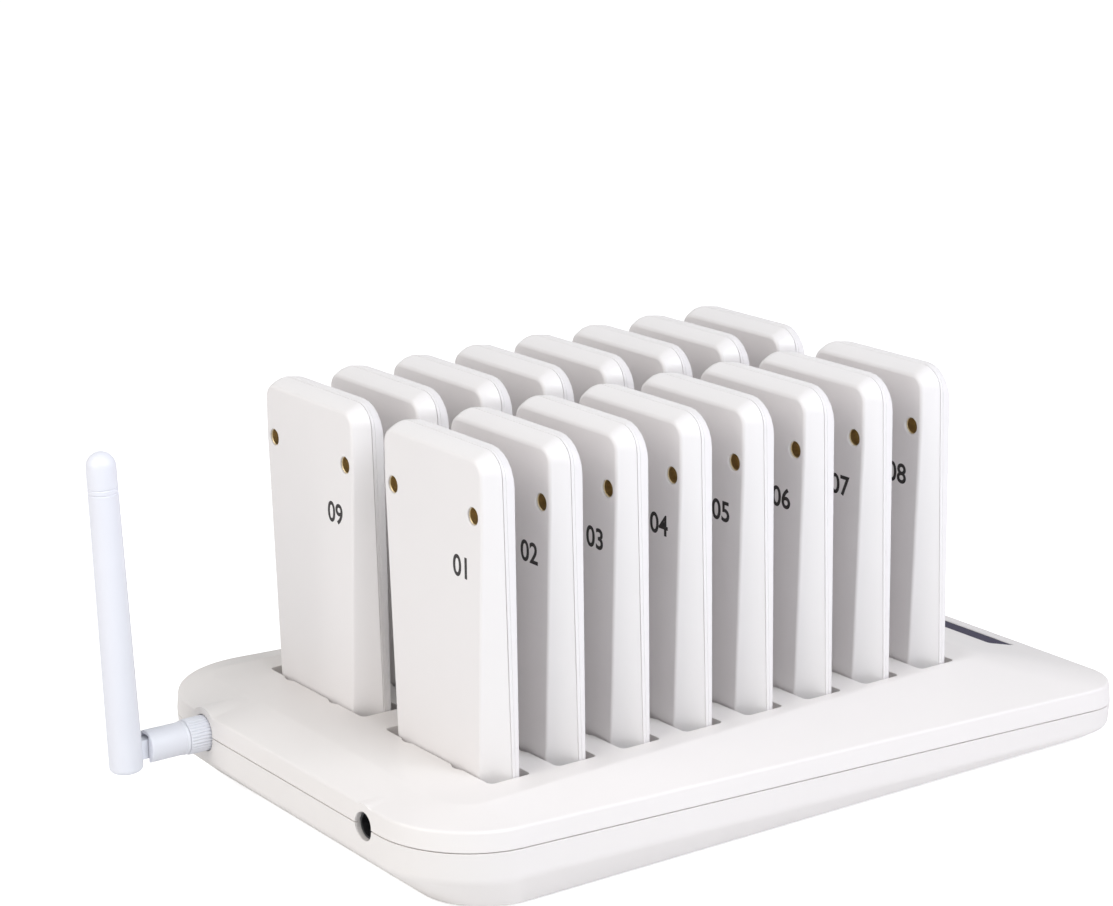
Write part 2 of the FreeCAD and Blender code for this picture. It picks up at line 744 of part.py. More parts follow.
def end_holes(name):
    """The antenna's and the power jack's round holes through the back end."""
    return fuse(name, [
        cylinder(name + "_antenna", "{antenna_hole_radius}", "{arch_length} + {cut_overrun}",
                 "%s - {cut_overrun}" % BACK_X, "{antenna_offset}", AXIS_Z, X_WAY),
        cylinder(name + "_jack", "{jack_hole_radius}", "{jack_nose_length} + {cut_overrun}",
                 "%s - {cut_overrun}" % BACK_X, "-({jack_offset})", AXIS_Z, X_WAY)])


def key_places():
    """The twelve keys as (label, down the slope, across)."""
    return [(label, "({key_down} + %d * {key_row_pitch})" % row, "({key_across} + %d * {key_pitch})" % column)
            for row, labels in enumerate(KEY_ROWS) for column, label in enumerate(labels)]


def panel_openings():
    """Openings for the keys and the display window."""
    pieces = [box("opening_of_" + label, "{key_length} + 2 * {key_clearance}",
                  "{key_width} + 2 * {key_clearance}", "{roof} + 2 * {cut_overrun}",
                  down, across, "-{roof} - {cut_overrun}")
              for label, down, across in key_places()]
    pieces.append(box("window_recess", "{window_width} + 2 * {window_clearance}",
                      "{window_length} + 2 * {window_clearance}",
                      "{window_thickness} + {window_sink} + {cut_overrun}",
                      "{window_down}", "{window_across}", "-{window_thickness} - {window_sink}"))
    pieces.append(box("window_opening", "{window_width} - 2 * {window_ledge}",
                      "{window_length} - 2 * {window_ledge}", "{roof} + 2 * {cut_overrun}",
                      "{window_down}", "{window_across}", "-{roof} - {cut_overrun}"))
    return on_panel(group("panel_openings", [fuse("panel_cutters", pieces)]))


def keypad_posts():
    """Four posts from the panel's underside to the keypad board."""
    pieces = []
    for end, down in enumerate(("{panel_start} + {roof} + {keypad_post_inset}",
                                "%s - {keypad_post_inset}" % PANEL_FOOT), start=1):
        for number, side in enumerate(SIDES, start=1):
            pieces.append(cylinder("keypad_post_%d_%d" % (end, number), "{keypad_post_radius}",
                                   "%s - {panel_skin}" % BOARD_DEPTH, down,
                                   side + "({panel_half_width} - {roof} - {keypad_post_inset})",
                                   "-" + BOARD_DEPTH))
    return on_panel(group("keypad_posts", pieces))


def make_top_cover():
    outer = form("top_outside", upper_form())
    arches = group("arches", [
        cylinder("antenna_arch", "{antenna_arch_radius}", "{arch_length}",
                 "%s + {edge_inset}" % BACK_X, "{antenna_offset}", AXIS_Z, X_WAY),
        cylinder("jack_arch", "{jack_arch_radius}", "{arch_length}",
                 "%s + {edge_inset}" % BACK_X, "-({jack_offset})", AXIS_Z, X_WAY)])
    skin = fuse("top_skin", [outer, cut("upper_arches", arches, form("under_the_arches", below_parting()))])
    shell = cut("top_shell", skin, form("top_hollow", upper_hollow()))
    panel_middle = "{panel_start} + {panel_run} / 2"
    plate = on_panel(group("panel_plate_laid", [
        box("panel_plate", "{panel_run}", "2 * {panel_half_width}", "{roof} - {panel_skin}",
            panel_middle, "0", "-{roof}")]))
    space = on_panel(group("panel_space_laid", [
        box("panel_space", "{panel_run} - {roof}", "2 * {panel_half_width} - 2 * {roof}",
            "{panel_space}", "%s + {roof} / 2" % panel_middle, "0", "-{roof} - {panel_space}")]))
    with_plate = fuse("top_with_plate", [shell, common("plate_inside", plate, outer)])
    cleared = cut("top_cleared", with_plate, space)
    bosses = common("top_bosses_inside", screw_bosses("top_bosses"), outer)
    solid = fuse("top_solid", [cleared, bosses, keypad_posts()] + in_every_slot("well", slot_well()))
    slots = group("slots", in_every_slot("slot", slot_space()))
    open_top = cut("top_with_slots", solid, slots)
    bored = cut("top_with_bores", open_top, fuse("top_bores", [end_holes("top_end_holes"),
                                                               screw_bores("top_screw_bores")]))
    node("top_cover", [cut("top_cover_solid", bored, panel_openings())])


def foot_places():
    """Places of the six rubber feet as (x, y) expressions."""
    return [(x, side + "({base_width} / 2 - {foot_inset})") for side in SIDES
            for x in ("(%s + {foot_inset})" % BACK_X, "0", "(%s - {foot_inset})" % KEYPAD_X)]


def board_posts():
    """Posts under the corners of the main board and along the sides of the charging board."""
    pieces = []
    for number, side in enumerate(SIDES, start=1):
        for end, way in enumerate(("-", ""), start=1):
            pieces.append(cylinder("main_post_%d_%d" % (number, end), "{post_radius}", "{main_board_post}",
                                   "{main_board_x} %s ({main_board_length} / 2 - 2 * {post_radius})"
                                   % (way or "+"),
                                   side + "({main_board_width} / 2 - 2 * {post_radius})", FLOOR_Z))
        for place, column in enumerate((0, PAGERS_PER_ROW // 2, PAGERS_PER_ROW - 1), start=1):
            pieces.append(cylinder("charging_post_%d_%d" % (number, place), "{post_radius}",
                                   "%s - {board_thickness} - %s" % (WELL_FOOT_Z, FLOOR_Z),
                                   "%s + %d * {pager_pitch}" % (FIRST_FRONT_X, column),
                                   side + "({row_offset} + {pager_width} / 2)", FLOOR_Z))
    return pieces


def make_bottom_cover():
    outer = form("bottom_outside", lower_form())
    shell = cut("bottom_shell", outer, form("bottom_hollow", lower_hollow()))
    bosses = common("bottom_bosses_inside", screw_bosses("bottom_bosses"), outer)
    seats = [
        box("jack_seat", "{jack_body_length} - 2 * {seat_wall}", "{jack_body_width}",
            "%s - {jack_body_height} / 2 - %s" % (AXIS_Z, FLOOR_Z),
            "%s + {jack_nose_recess} + {jack_nose_length} + {jack_body_length} / 2" % BACK_X,
            "-({jack_offset})", FLOOR_Z),
        box("socket_seat", "{socket_body_length} - 2 * {seat_wall}", "2 * {socket_body_radius}",
            "%s - {socket_body_radius} / 2 - %s" % (AXIS_Z, FLOOR_Z),
            "%s + {nut_length} - {nut_proud} + {nut_end_gap} + {socket_body_length} / 2" % BACK_X,
            "{antenna_offset}", FLOOR_Z)]
    socket_room = cylinder("socket_room", "{socket_body_radius}", "{socket_body_length}",
                           "%s + {nut_length} - {nut_proud} + {nut_end_gap}" % BACK_X,
                           "{antenna_offset}", AXIS_Z, X_WAY)
    recesses = [cylinder("foot_recess_%d" % number, "{foot_radius} + {foot_clearance}",
                         "{foot_recess} + {cut_overrun}", x, y, "{foot_height} - {cut_overrun}")
                for number, (x, y) in enumerate(foot_places(), start=1)]
    solid = fuse("bottom_solid", [shell, bosses] + board_posts())
    bores = fuse("bottom_bores", recesses + [end_holes("bottom_end_holes"), screw_bores("bottom_screw_bores")])
    bored = cut("bottom_bored", solid, bores)
    inside = common("seats_inside", group("seats", seats), outer)
    node("bottom_cover", [fuse("bottom_cover_solid", [bored, cut("seats_shaped", inside, socket_room)])])


# Boards, display and keys

def make_boards():
    charging_length = "(%d * {pager_pitch} + {pager_depth} + 2 * {charging_board_margin})" % (PAGERS_PER_ROW - 1)
    board = box("charging_board_sheet", charging_length,
                "2 * {row_offset} + {pager_width} + 2 * {charging_board_margin}", "{board_thickness}",
                "%s - {charging_board_margin} + %s / 2" % (FIRST_FRONT_X, charging_length), "0",
                "%s - {board_thickness}" % WELL_FOOT_Z)
    pins = group("charging_pin_pair", [
        cylinder("charging_pin_%d" % number, "{pin_radius}", "{slot_floor} - {pin_gap}",
                 "{pager_depth} / 2", side + "{contact_spacing} / 2", WELL_FOOT_Z)
        for number, side in enumerate(SIDES, start=1)])
    node("charging_board", [board] + in_every_slot("pins", pins))
    main_top = "%s + {board_thickness}" % MAIN_BOARD_Z
    node("main_board", [box("main_board_sheet", "{main_board_length}", "{main_board_width}",
                            "{board_thickness}", "{main_board_x}", "0", MAIN_BOARD_Z)])
    node("radio_module", [box("radio_can", "{radio_length}", "{radio_width}", "{radio_height}",
                              "{radio_x}", "{radio_y}", main_top)])


def make_keypad_board():
    """The board under the panel with a tact switch below each key."""
    length = "{panel_run} - {roof} - 2 * {keypad_board_margin}"
    pieces = [box("keypad_board_sheet", length,
                  "2 * {panel_half_width} - 2 * {roof} - 2 * {keypad_board_margin}",
                  "{keypad_board_thickness}", "{panel_start} + {roof} / 2 + {panel_run} / 2", "0",
                  "-%s - {keypad_board_thickness}" % BOARD_DEPTH)]
    button_top = "({roof} + {key_flange_thickness} + {key_travel} + {key_press_gap})"
    body_height = "%s - %s - {switch_button_height}" % (BOARD_DEPTH, button_top)
    for label, down, across in key_places():
        body = box("switch_body_of_" + label, "{switch_size}", "{switch_size}", body_height,
                   down, across, "-" + BOARD_DEPTH)
        button = cylinder("switch_button_of_" + label, "{switch_button_radius}",
                          "{switch_button_height} + {key_press_gap}", down, across,
                          "-%s - {switch_button_height} - {key_press_gap}" % button_top)
        pieces.append(fuse("switch_of_" + label, [body, button]))
    node("keypad_board", [on_panel(group("keypad_board_laid", pieces))])


def make_display():
    window = box("window_lens", "{window_width}", "{window_length}", "{window_thickness}",
                 "{window_down}", "{window_across}", "-{window_thickness} - {window_sink}")
    node("display_window", [on_panel(group("window_laid", [window]))])
    glass = box("display_body", "{display_width}", "{display_length}",
                "%s - {roof} - {display_gap}" % BOARD_DEPTH, "{window_down}", "{window_across}",
                "-" + BOARD_DEPTH)
    node("display_module", [on_panel(group("display_laid", [glass]))])


def make_keys():
    """A key cap: a block with rounded corners and edge, kept in by a flange under the panel."""
    block = box("key_block", "{key_length}", "{key_width}", "{key_proud} + {roof}", "0", "0", "-{roof}")
    doc.recompute()
    uprights = [number for number, edge in enumerate(block.Shape.Edges, start=1)
                if edge.BoundBox.ZLength > block.Shape.BoundBox.ZLength / 2]
    rounded = doc.addObject("Part::Fillet", "key_rounded")
    rounded.Base = block
    rounded.Edges = [(edge, size("key_corner"), size("key_corner")) for edge in uprights]
    doc.recompute()
    top = rounded.Shape.BoundBox.ZMax
    rim = [number for number, edge in enumerate(rounded.Shape.Edges, start=1)
           if edge.BoundBox.ZMin > top - size("key_proud") / 2]
    softened = doc.addObject("Part::Fillet", "key_softened")
    softened.Base = rounded
    softened.Edges = [(edge, size("key_edge_round"), size("key_edge_round")) for edge in rim]
    flange = box("key_flange_block", "{key_length} + 2 * {key_flange}", "{key_width} + 2 * {key_flange}",
                 "{key_flange_thickness}", "0", "0", "-{roof} - {key_flange_thickness}")
    cap = fuse("key_cap", [softened, flange])
    for label, down, across in key_places():
        node(label, [on_panel(group(label + "_laid", [cap]), down, across)])


# Power jack and antenna

def make_power_jack():
    nose_radius = "{jack_hole_radius} - {jack_nose_clearance}"
    start = "(%s + {jack_nose_recess})" % BACK_X
    nose = cylinder("jack_nose", nose_radius, "{jack_nose_length}", start, "-({jack_offset})", AXIS_Z, X_WAY)
    body = box("jack_body", "{jack_body_length}", "{jack_body_width}", "{jack_body_height}",
               "%s + {jack_nose_length} + {jack_body_length} / 2" % start, "-({jack_offset})",
               "%s - {jack_body_height} / 2" % AXIS_Z)
    bore = cylinder("jack_bore", "{jack_bore_radius}", "{jack_bore_depth} + {cut_overrun}",
                    "%s - {cut_overrun}" % start, "-({jack_offset})", AXIS_Z, X_WAY)
    pin = cylinder("jack_pin", "{jack_pin_radius}", "{jack_pin_length}",
                   "%s + {jack_bore_depth} - {jack_pin_length}" % start, "-({jack_offset})", AXIS_Z, X_WAY)
    node("power_jack", [cut("jack_housing", fuse("jack_solid", [nose, body]), bore), pin])


def make_antenna_socket():
    """The threaded socket: a barrel on its seat behind the nut, a thread that reaches into it."""
    thread_length = "({nut_length} - {elbow_stem_length})"
    body_length = "(%s + {socket_body_length})" % thread_length
    socket = turned("socket_turned", [
        ("{socket_bore_radius}", "0"), ("{socket_thread_radius}", "0"),
        ("{socket_thread_radius}", thread_length), ("{socket_body_radius}", thread_length),
        ("{socket_body_radius}", body_length), ("{socket_bore_radius}", body_length)])
    along_x(socket, 1, "%s + {nut_length} - {nut_proud} + {nut_end_gap} - %s" % (BACK_X, thread_length),
            "{antenna_offset}", AXIS_Z)
    node("antenna_socket", [socket])


def make_antenna_nut():
    """The knurled nut: threaded over the socket, its shoulder round the elbow's stem."""
    inner = "{socket_thread_radius} + {nut_thread_clearance}"
    mouth = "{elbow_stem_radius} + {elbow_stem_clearance}"
    knurl_root = "{nut_radius} - {knurl_depth}"
    barrel_length = "{nut_length} - {nut_collar_length}"
    nut = turned("nut_turned", [
        (inner, "0"), ("{nut_radius}", "0"), ("{nut_radius}", barrel_length),
        (knurl_root, barrel_length), (knurl_root, "{nut_length}"), (mouth, "{nut_length}"),
        (mouth, "{nut_length} - {nut_shoulder}"), (inner, "{nut_length} - {nut_shoulder}")])
    grooves = []
    for number in range(KNURLS):
        groove = cylinder("knurl_%d" % (number + 1), "{knurl_depth}", "%s + {cut_overrun}" % barrel_length,
                          "{nut_radius} * cos(%d * 360 / %d)" % (number, KNURLS),
                          "{nut_radius} * sin(%d * 360 / %d)" % (number, KNURLS), "-{cut_overrun}")
        grooves.append(groove)
    knurled = group("nut_laid", [cut("nut_knurled", nut, group("knurls", grooves))])
    along_x(knurled, -1, "%s + {nut_length} - {nut_proud}" % BACK_X, "{antenna_offset}", AXIS_Z)
    node("antenna_nut", [knurled])


def make_antenna_elbow():
    """The swivelling elbow: a stem in the nut, a neck, and a barrel forked for the mast's tongue."""
    neck_end = "{elbow_stem_length} + {elbow_neck_length}"
    far_end = "%s + {elbow_length}" % neck_end
    elbow = turned("elbow_turned", [
        ("0", "0"), ("{elbow_stem_radius}", "0"), ("{elbow_stem_radius}", "{elbow_stem_length}"),
        ("{elbow_neck_radius}", "{elbow_stem_length}"), ("{elbow_neck_radius}", neck_end),
        ("{elbow_radius}", neck_end), ("{elbow_radius}", "%s - {elbow_end_round}" % far_end),
        ("{elbow_radius} - {elbow_end_round}", far_end), ("0", far_end)])
    along_x(elbow, -1, "%s - {nut_proud} - {nut_face_gap} + {elbow_stem_length}" % BACK_X,
            "{antenna_offset}", AXIS_Z)
    end_x = "%s - {hinge_pin_inset}" % PIN_X
    slot = box("fork_slot", "{fork_depth} + {cut_overrun}", "{fork_gap}", "2 * {elbow_radius} + 2 * {cut_overrun}",
               "%s + {fork_depth} / 2 - {cut_overrun} / 2" % end_x, "{antenna_offset}",
               "%s - {elbow_radius} - {cut_overrun}" % AXIS_Z)
    pin_hole = cylinder("fork_pin_hole", "{hinge_pin_radius} + {hinge_pin_clearance}",
                        "2 * {elbow_radius} + 2 * {cut_overrun}", PIN_X,
                        "{antenna_offset} - {elbow_radius} - {cut_overrun}", AXIS_Z, Y_WAY)
    node("antenna_elbow", [cut("elbow_forked", elbow, fuse("fork_cutters", [slot, pin_hole]))])
    half_pin = "({elbow_radius} - {hinge_pin_sink})"
    node("antenna_hinge_pin", [cylinder("hinge_pin", "{hinge_pin_radius}", "2 * %s" % half_pin, PIN_X,
                                        "{antenna_offset} - %s" % half_pin, AXIS_Z, Y_WAY)])


def make_antenna_mast():
    """The mast with its tongue, drawn about the hinge pin and then leaned."""
    shaft = doc.addObject("Part::Cone", "mast_shaft")
    bind(shaft, "Radius1", "{mast_radius}")
    bind(shaft, "Radius2", "{mast_top_radius}")
    bind(shaft, "Height", "{mast_below} + {mast_above} - {mast_top_radius}")
    bind_base(shaft, "-{hinge_to_mast}", "0", "-{mast_below}")
    doc.recompute()
    foot = shaft.Shape.BoundBox.ZMin
    foot_edge = [number for number, edge in enumerate(shaft.Shape.Edges, start=1)
                 if edge.BoundBox.ZMax < foot + size("mast_foot_round")]
    rounded = doc.addObject("Part::Fillet", "mast_rounded")
    rounded.Base = shaft
    rounded.Edges = [(edge, size("mast_foot_round"), size("mast_foot_round")) for edge in foot_edge]
    dome = doc.addObject("Part::Sphere", "mast_dome")
    bind(dome, "Radius", "{mast_top_radius}")
    bind_base(dome, "-{hinge_to_mast}", "0", "{mast_above} - {mast_top_radius}")
    thickness = "({fork_gap} - 2 * {tongue_clearance})"
    eye = cylinder("tongue_eye", "{tongue_radius}", thickness, "0", "-%s / 2" % thickness, "0", Y_WAY)
    tongue = box("tongue_bar", "{hinge_to_mast}", thickness, "2 * {tongue_radius}",
                 "-{hinge_to_mast} / 2", "0", "-{tongue_radius}")
    solid = fuse("mast_solid", [rounded, dome, eye, tongue])
    cutters = [cylinder("tongue_pin_hole", "{hinge_pin_radius} + {hinge_pin_clearance}",
                        "%s + 2 * {cut_overrun}" % thickness, "0",
                        "-%s / 2 - {cut_overrun}" % thickness, "0", Y_WAY)]
    for number in range(2):
        low = "{mast_above} - {ring_groove_from_top} - %d * {ring_groove_spacing}" % number
        cutters.append(cut("ring_groove_%d" % (number + 1),
                           cylinder("ring_outside_%d" % (number + 1), "{mast_radius}", "{ring_groove_width}",
                                    "-{hinge_to_mast}", "0", low),
                           cylinder("ring_inside_%d" % (number + 1), "{mast_top_radius} - {ring_groove_depth}",
                                    "{ring_groove_width}", "-{hinge_to_mast}", "0", low)))
    leaned = group("mast_leaned", [cut("mast_cut", solid, fuse("mast_cutters", cutters))])
    leaned.Placement = Placement(Vector(), Rotation(Vector(0, -1, 0), 1))
    bind(leaned, "Placement.Rotation.Angle", "{mast_lean_degrees}")
    bind_base(leaned, PIN_X, "{antenna_offset}", AXIS_Z)
    node("antenna_mast", [leaned])


# Feet and screws

def make_feet_and_screws():
    node("rubber_feet", [cylinder("foot_%d" % number, "{foot_radius}", "{foot_height} + {foot_recess}", x, y)
                         for number, (x, y) in enumerate(foot_places(), start=1)])
    screw = turned("case_screw", [
        ("0", "-{case_screw_head_length}"), ("{case_screw_head_radius}", "-{case_screw_head_length}"),
        ("{case_screw_head_radius}", "0"), ("{case_screw_radius}", "0"),
        ("{case_screw_radius}", "{case_screw_length}"), ("0", "{case_screw_length}")])
    screws = []
    for number, (x, y) in enumerate(screw_places(), start=1):
        copy = group("case_screw_%d" % number, [screw])
        bind_base(copy, x, y, seat_height(x))
        screws.append(copy)
    node("case_screws", screws)


def check_and_export():
    """Stop on any failed object or sub-part, then write each sub-part."""
    doc.recompute()
    failed = [thing.Name for thing in doc.Objects if "Invalid" in thing.State or "Error" in thing.State]
    if failed:
        raise RuntimeError("not computed: " + ", ".join(failed))
    for thing in nodes:
        if thing.Shape.isNull() or not thing.Shape.isValid() or not thing.Shape.Solids:
            raise RuntimeError("bad shape: " + thing.Label)
    os.makedirs("parts", exist_ok=True)
    for thing in nodes:
        thing.Shape.exportStep("parts/%s.step" % thing.Label)
    print("%d sub-parts, %d solids" % (len(nodes), sum(len(thing.Shape.Solids) for thing in nodes)))


make_top_cover()
make_bottom_cover()
make_display()
make_keys()
make_keypad_board()
make_boards()
make_power_jack()
make_antenna_socket()
make_antenna_nut()
make_antenna_elbow()
make_antenna_mast()
make_feet_and_screws()
make_pagers()
check_and_export()
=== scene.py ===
# %% [markdown]
# # Guest pager system
# A restaurant hands its waiting guests a slim pager each. Sixteen of them stand in a low white base
# that charges them and calls them by radio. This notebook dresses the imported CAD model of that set,
# piece by piece. The CAD model comes in first and stays where it is, so every new piece can take its
# place from it.

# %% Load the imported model
import json
import math

import bmesh
import bpy
from mathutils import Matrix, Vector

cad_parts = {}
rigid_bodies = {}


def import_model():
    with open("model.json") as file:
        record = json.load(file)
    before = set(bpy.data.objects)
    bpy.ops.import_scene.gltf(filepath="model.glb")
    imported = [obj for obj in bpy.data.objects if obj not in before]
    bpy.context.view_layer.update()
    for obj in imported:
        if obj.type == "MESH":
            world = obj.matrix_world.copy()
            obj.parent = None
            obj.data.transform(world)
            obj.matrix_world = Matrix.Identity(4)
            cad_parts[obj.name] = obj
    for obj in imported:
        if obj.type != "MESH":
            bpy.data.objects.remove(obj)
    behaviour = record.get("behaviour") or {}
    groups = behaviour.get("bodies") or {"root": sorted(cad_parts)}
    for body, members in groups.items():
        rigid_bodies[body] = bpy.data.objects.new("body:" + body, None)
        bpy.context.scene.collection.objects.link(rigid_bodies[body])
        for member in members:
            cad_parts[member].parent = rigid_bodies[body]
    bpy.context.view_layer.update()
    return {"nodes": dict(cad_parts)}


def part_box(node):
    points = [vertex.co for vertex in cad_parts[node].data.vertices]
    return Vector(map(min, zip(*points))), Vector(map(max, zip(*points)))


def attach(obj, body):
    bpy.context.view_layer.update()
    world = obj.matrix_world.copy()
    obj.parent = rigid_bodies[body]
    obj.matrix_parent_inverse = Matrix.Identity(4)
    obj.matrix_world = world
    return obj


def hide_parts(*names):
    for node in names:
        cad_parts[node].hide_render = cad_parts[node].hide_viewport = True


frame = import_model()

# %% [markdown]
# ## Units and finishes
# Blender works in metres and a maker thinks in millimetres, so every shape below is drawn in
# millimetres and scaled once, when it becomes a piece. Colours are noted as the hex codes that a
# picture editor shows, and one function turns them to the linear values that a shader wants.
# A second small function adds a shader node with its settings and links, so a recipe for a finish
# reads as a short list.

# %% Helpers for finishes
MM = 0.001


def colour(code):
    """An sRGB hex code as the linear colour that a shader takes."""
    shares = [int(code[i:i + 2], 16) / 255 for i in (1, 3, 5)]
    return [s / 12.92 if s <= 0.04045 else ((s + 0.055) / 1.055) ** 2.4 for s in shares] + [1.0]


def add_node(finish, kind, inputs=(), **settings):
    """Add a node, set what it is told, and link the inputs that are given a socket."""
    node = finish.node_tree.nodes.new(kind)
    for name, value in settings.items():
        setattr(node, name, value)
    for name, value in dict(inputs).items():
        if isinstance(value, bpy.types.NodeSocket):
            finish.node_tree.links.new(value, node.inputs[name])
        else:
            node.inputs[name].default_value = value
    return node


def new_finish(name):
    finish = bpy.data.materials.new(name)
    finish.use_nodes = True
    finish.node_tree.nodes.clear()
    return finish


def per_mm(size):
    """A pattern's scale on Object coordinates, which are metres, from its real size."""
    return 1 / (size * MM)


print("white paper as a shader takes it:", round(colour("#F4F4F4")[0], 3))

# %% [markdown]
# ## Moulded plastic
# Nearly all of this object is injection-moulded ABS, PBT or rubber. What the eye gets from such a
# surface is an even colour that drifts very slightly where the melt cooled, a gloss that varies a
# little with handling, and the fine grain that spark erosion leaves in the steel tool. One recipe
# makes them all from a few real numbers: the tone, the gloss, and the grain's size and depth.

# %% A recipe for moulded plastic
def moulded(name, tone, shade, roughness, grain, depth, ior=1.53, **sockets):
    """tone and shade are the two ends of the colour's drift; grain and depth are in millimetres."""
    finish = new_finish(name)
    place = add_node(finish, "ShaderNodeTexCoord").outputs["Object"]
    drift = add_node(finish, "ShaderNodeTexNoise", {"Vector": place, "Scale": per_mm(38.0), "Detail": 2.0})
    tint = add_node(finish, "ShaderNodeMix", {"Factor": drift.outputs["Fac"], "A": colour(tone),
                                              "B": colour(shade)}, data_type="RGBA")
    wear = add_node(finish, "ShaderNodeTexNoise", {"Vector": place, "Scale": per_mm(9.0), "Detail": 3.0})
    gloss = add_node(finish, "ShaderNodeMapRange", {"Value": wear.outputs["Fac"], "From Min": 0.3,
                                                    "From Max": 0.7, "To Min": roughness - 0.04,
                                                    "To Max": roughness + 0.04})
    pits = add_node(finish, "ShaderNodeTexNoise", {"Vector": place, "Scale": per_mm(grain), "Detail": 4.0,
                                                   "Roughness": 0.6})
    relief = add_node(finish, "ShaderNodeBump", {"Height": pits.outputs["Fac"], "Strength": 0.5,
                                                 "Distance": depth * MM})
    inputs = {"Base Color": tint.outputs["Result"], "Roughness": gloss.outputs["Result"],
              "IOR": ior, "Normal": relief.outputs["Normal"]}
    inputs.update(sockets)
    skin = add_node(finish, "ShaderNodeBsdfPrincipled", inputs)
    add_node(finish, "ShaderNodeOutputMaterial", {"Surface": skin.outputs["BSDF"]})
    print("finish:", name)
    return finish


# The base's casing is ABS from a spark-eroded tool, a warm white with a satin gloss.
cover_abs = moulded("cover_ABS_spark_grain", "#EBE7E4", "#E6E2DF", 0.42, 0.5, 0.02)
# The pagers are ABS from a finer tool, a little glossier and more neutral.
pager_abs = moulded("pager_ABS_fine_grain", "#ECE9E8", "#E8E5E4", 0.34, 0.4, 0.012)
# The antenna's sleeve and elbow are a cooler white, its nut a touch glossier.
sleeve_plastic = moulded("antenna_sleeve_plastic", "#E8E9F0", "#E3E4EB", 0.40, 0.4, 0.012)
nut_plastic = moulded("knurled_nut_plastic", "#EAEBF1", "#E2E3EA", 0.38, 0.4, 0.012)
# Key caps are silicone rubber, one tone greyer than the casing, so that they stand out.
key_silicone = moulded("key_cap_silicone", "#DEDDE0", "#D8D7DA", 0.52, 0.35, 0.02, ior=1.43)
jack_black = moulded("jack_PBT_black", "#17171A", "#1D1D20", 0.45, 0.4, 0.02)
foot_rubber = moulded("foot_rubber_grey", "#6F7073", "#66676A", 0.75, 0.5, 0.05, ior=1.52)
# Pad-printed ink is a thin matt film, nearly black.
print_ink = moulded("pad_print_ink", "#221E1E", "#2B2625", 0.55, 0.3, 0.006, ior=1.5)

# %% [markdown]
# ## Metal, board and window
# The screws at the bottom of the pagers' holes are brass-plated steel, and the case screws and the
# hinge pin are bright zinc. Metals keep the default IOR, because their colour already says how they
# reflect. Turned metal carries fine rings, so its roughness changes quickly across the part. The
# boards are green solder mask over glass cloth, and the window is smoked acrylic, which looks nearly
# black until a display lights behind it.

# %% Recipes for metal, board and window
def turned_metal(name, tone, roughness, ring):
    finish = new_finish(name)
    place = add_node(finish, "ShaderNodeTexCoord").outputs["Object"]
    rings = add_node(finish, "ShaderNodeTexNoise", {"Vector": place, "Scale": per_mm(ring), "Detail": 2.0})
    gloss = add_node(finish, "ShaderNodeMapRange", {"Value": rings.outputs["Fac"], "To Min": roughness - 0.08,
                                                    "To Max": roughness + 0.12})
    skin = add_node(finish, "ShaderNodeBsdfPrincipled", {"Base Color": colour(tone), "Metallic": 1.0,
                                                         "Roughness": gloss.outputs["Result"]})
    add_node(finish, "ShaderNodeOutputMaterial", {"Surface": skin.outputs["BSDF"]})
    print("finish:", name)
    return finish


brass_plate = turned_metal("screw_brass_plated", "#CDBA90", 0.42, 0.3)
zinc_plate = turned_metal("screw_zinc_plated", "#C4C6CA", 0.30, 0.3)
nickel_plate = turned_metal("contact_nickel_plated", "#CFCBC4", 0.22, 0.4)
tin_plate = turned_metal("radio_can_tinned_steel", "#BDBEC0", 0.35, 1.5)


def circuit_board(name):
    """Green solder mask: a glossy film whose weave of glass cloth shows through."""
    finish = new_finish(name)
    place = add_node(finish, "ShaderNodeTexCoord").outputs["Object"]
    weave = add_node(finish, "ShaderNodeTexChecker", {"Vector": place, "Scale": per_mm(0.8),
                                                      "Color1": colour("#1F5A38"), "Color2": colour("#1B5033")})
    skin = add_node(finish, "ShaderNodeBsdfPrincipled", {"Base Color": weave.outputs["Color"],
                                                         "Roughness": 0.28, "IOR": 1.5})
    add_node(finish, "ShaderNodeOutputMaterial", {"Surface": skin.outputs["BSDF"]})
    print("finish:", name)
    return finish


board_green = circuit_board("board_green_solder_mask")
window_acrylic = moulded("window_smoked_acrylic", "#5F5C69", "#5B5865", 0.30, 6.0, 0.002, ior=1.49,
                         **{"Specular IOR Level": 0.0})
display_glass = moulded("display_glass_grey", "#3C3F42", "#383B3E", 0.12, 6.0, 0.002, ior=1.52)

# %% [markdown]
# ## Outlines and lofts
# An outline is a polygon whose corners are rounded by a vertex bevel, the way a sketch gets its
# fillets. A loft bridges outlines of equal count into a skin, which is how a draughted moulding is
# drawn. Stretching a cube would be quicker, but its walls would have no draught and its corners no
# radius of their own.

# %% Outlines and lofts
def rounded(corners, segments=6):
    """Points of a closed outline through (x, y, reach) corners, each cut back by reach and rounded."""
    flat = bmesh.new()
    verts = [flat.verts.new((x, y, 0)) for x, y, _ in corners]
    flat.faces.new(verts)
    for vert, (_, _, reach) in zip(verts, corners):
        if reach:
            bmesh.ops.bevel(flat, geom=[vert], offset=reach, offset_type="OFFSET", segments=segments,
                            profile=0.5, affect="VERTICES", material=-1, clamp_overlap=False)
    flat.faces.ensure_lookup_table()
    points = [v.co.copy() for v in max(flat.faces, key=lambda f: len(f.verts)).verts]
    flat.free()
    return points


def ring(bm, points):
    verts = [bm.verts.new(p) for p in points]
    return [bm.edges.new(pair) for pair in zip(verts, verts[1:] + verts[:1])]


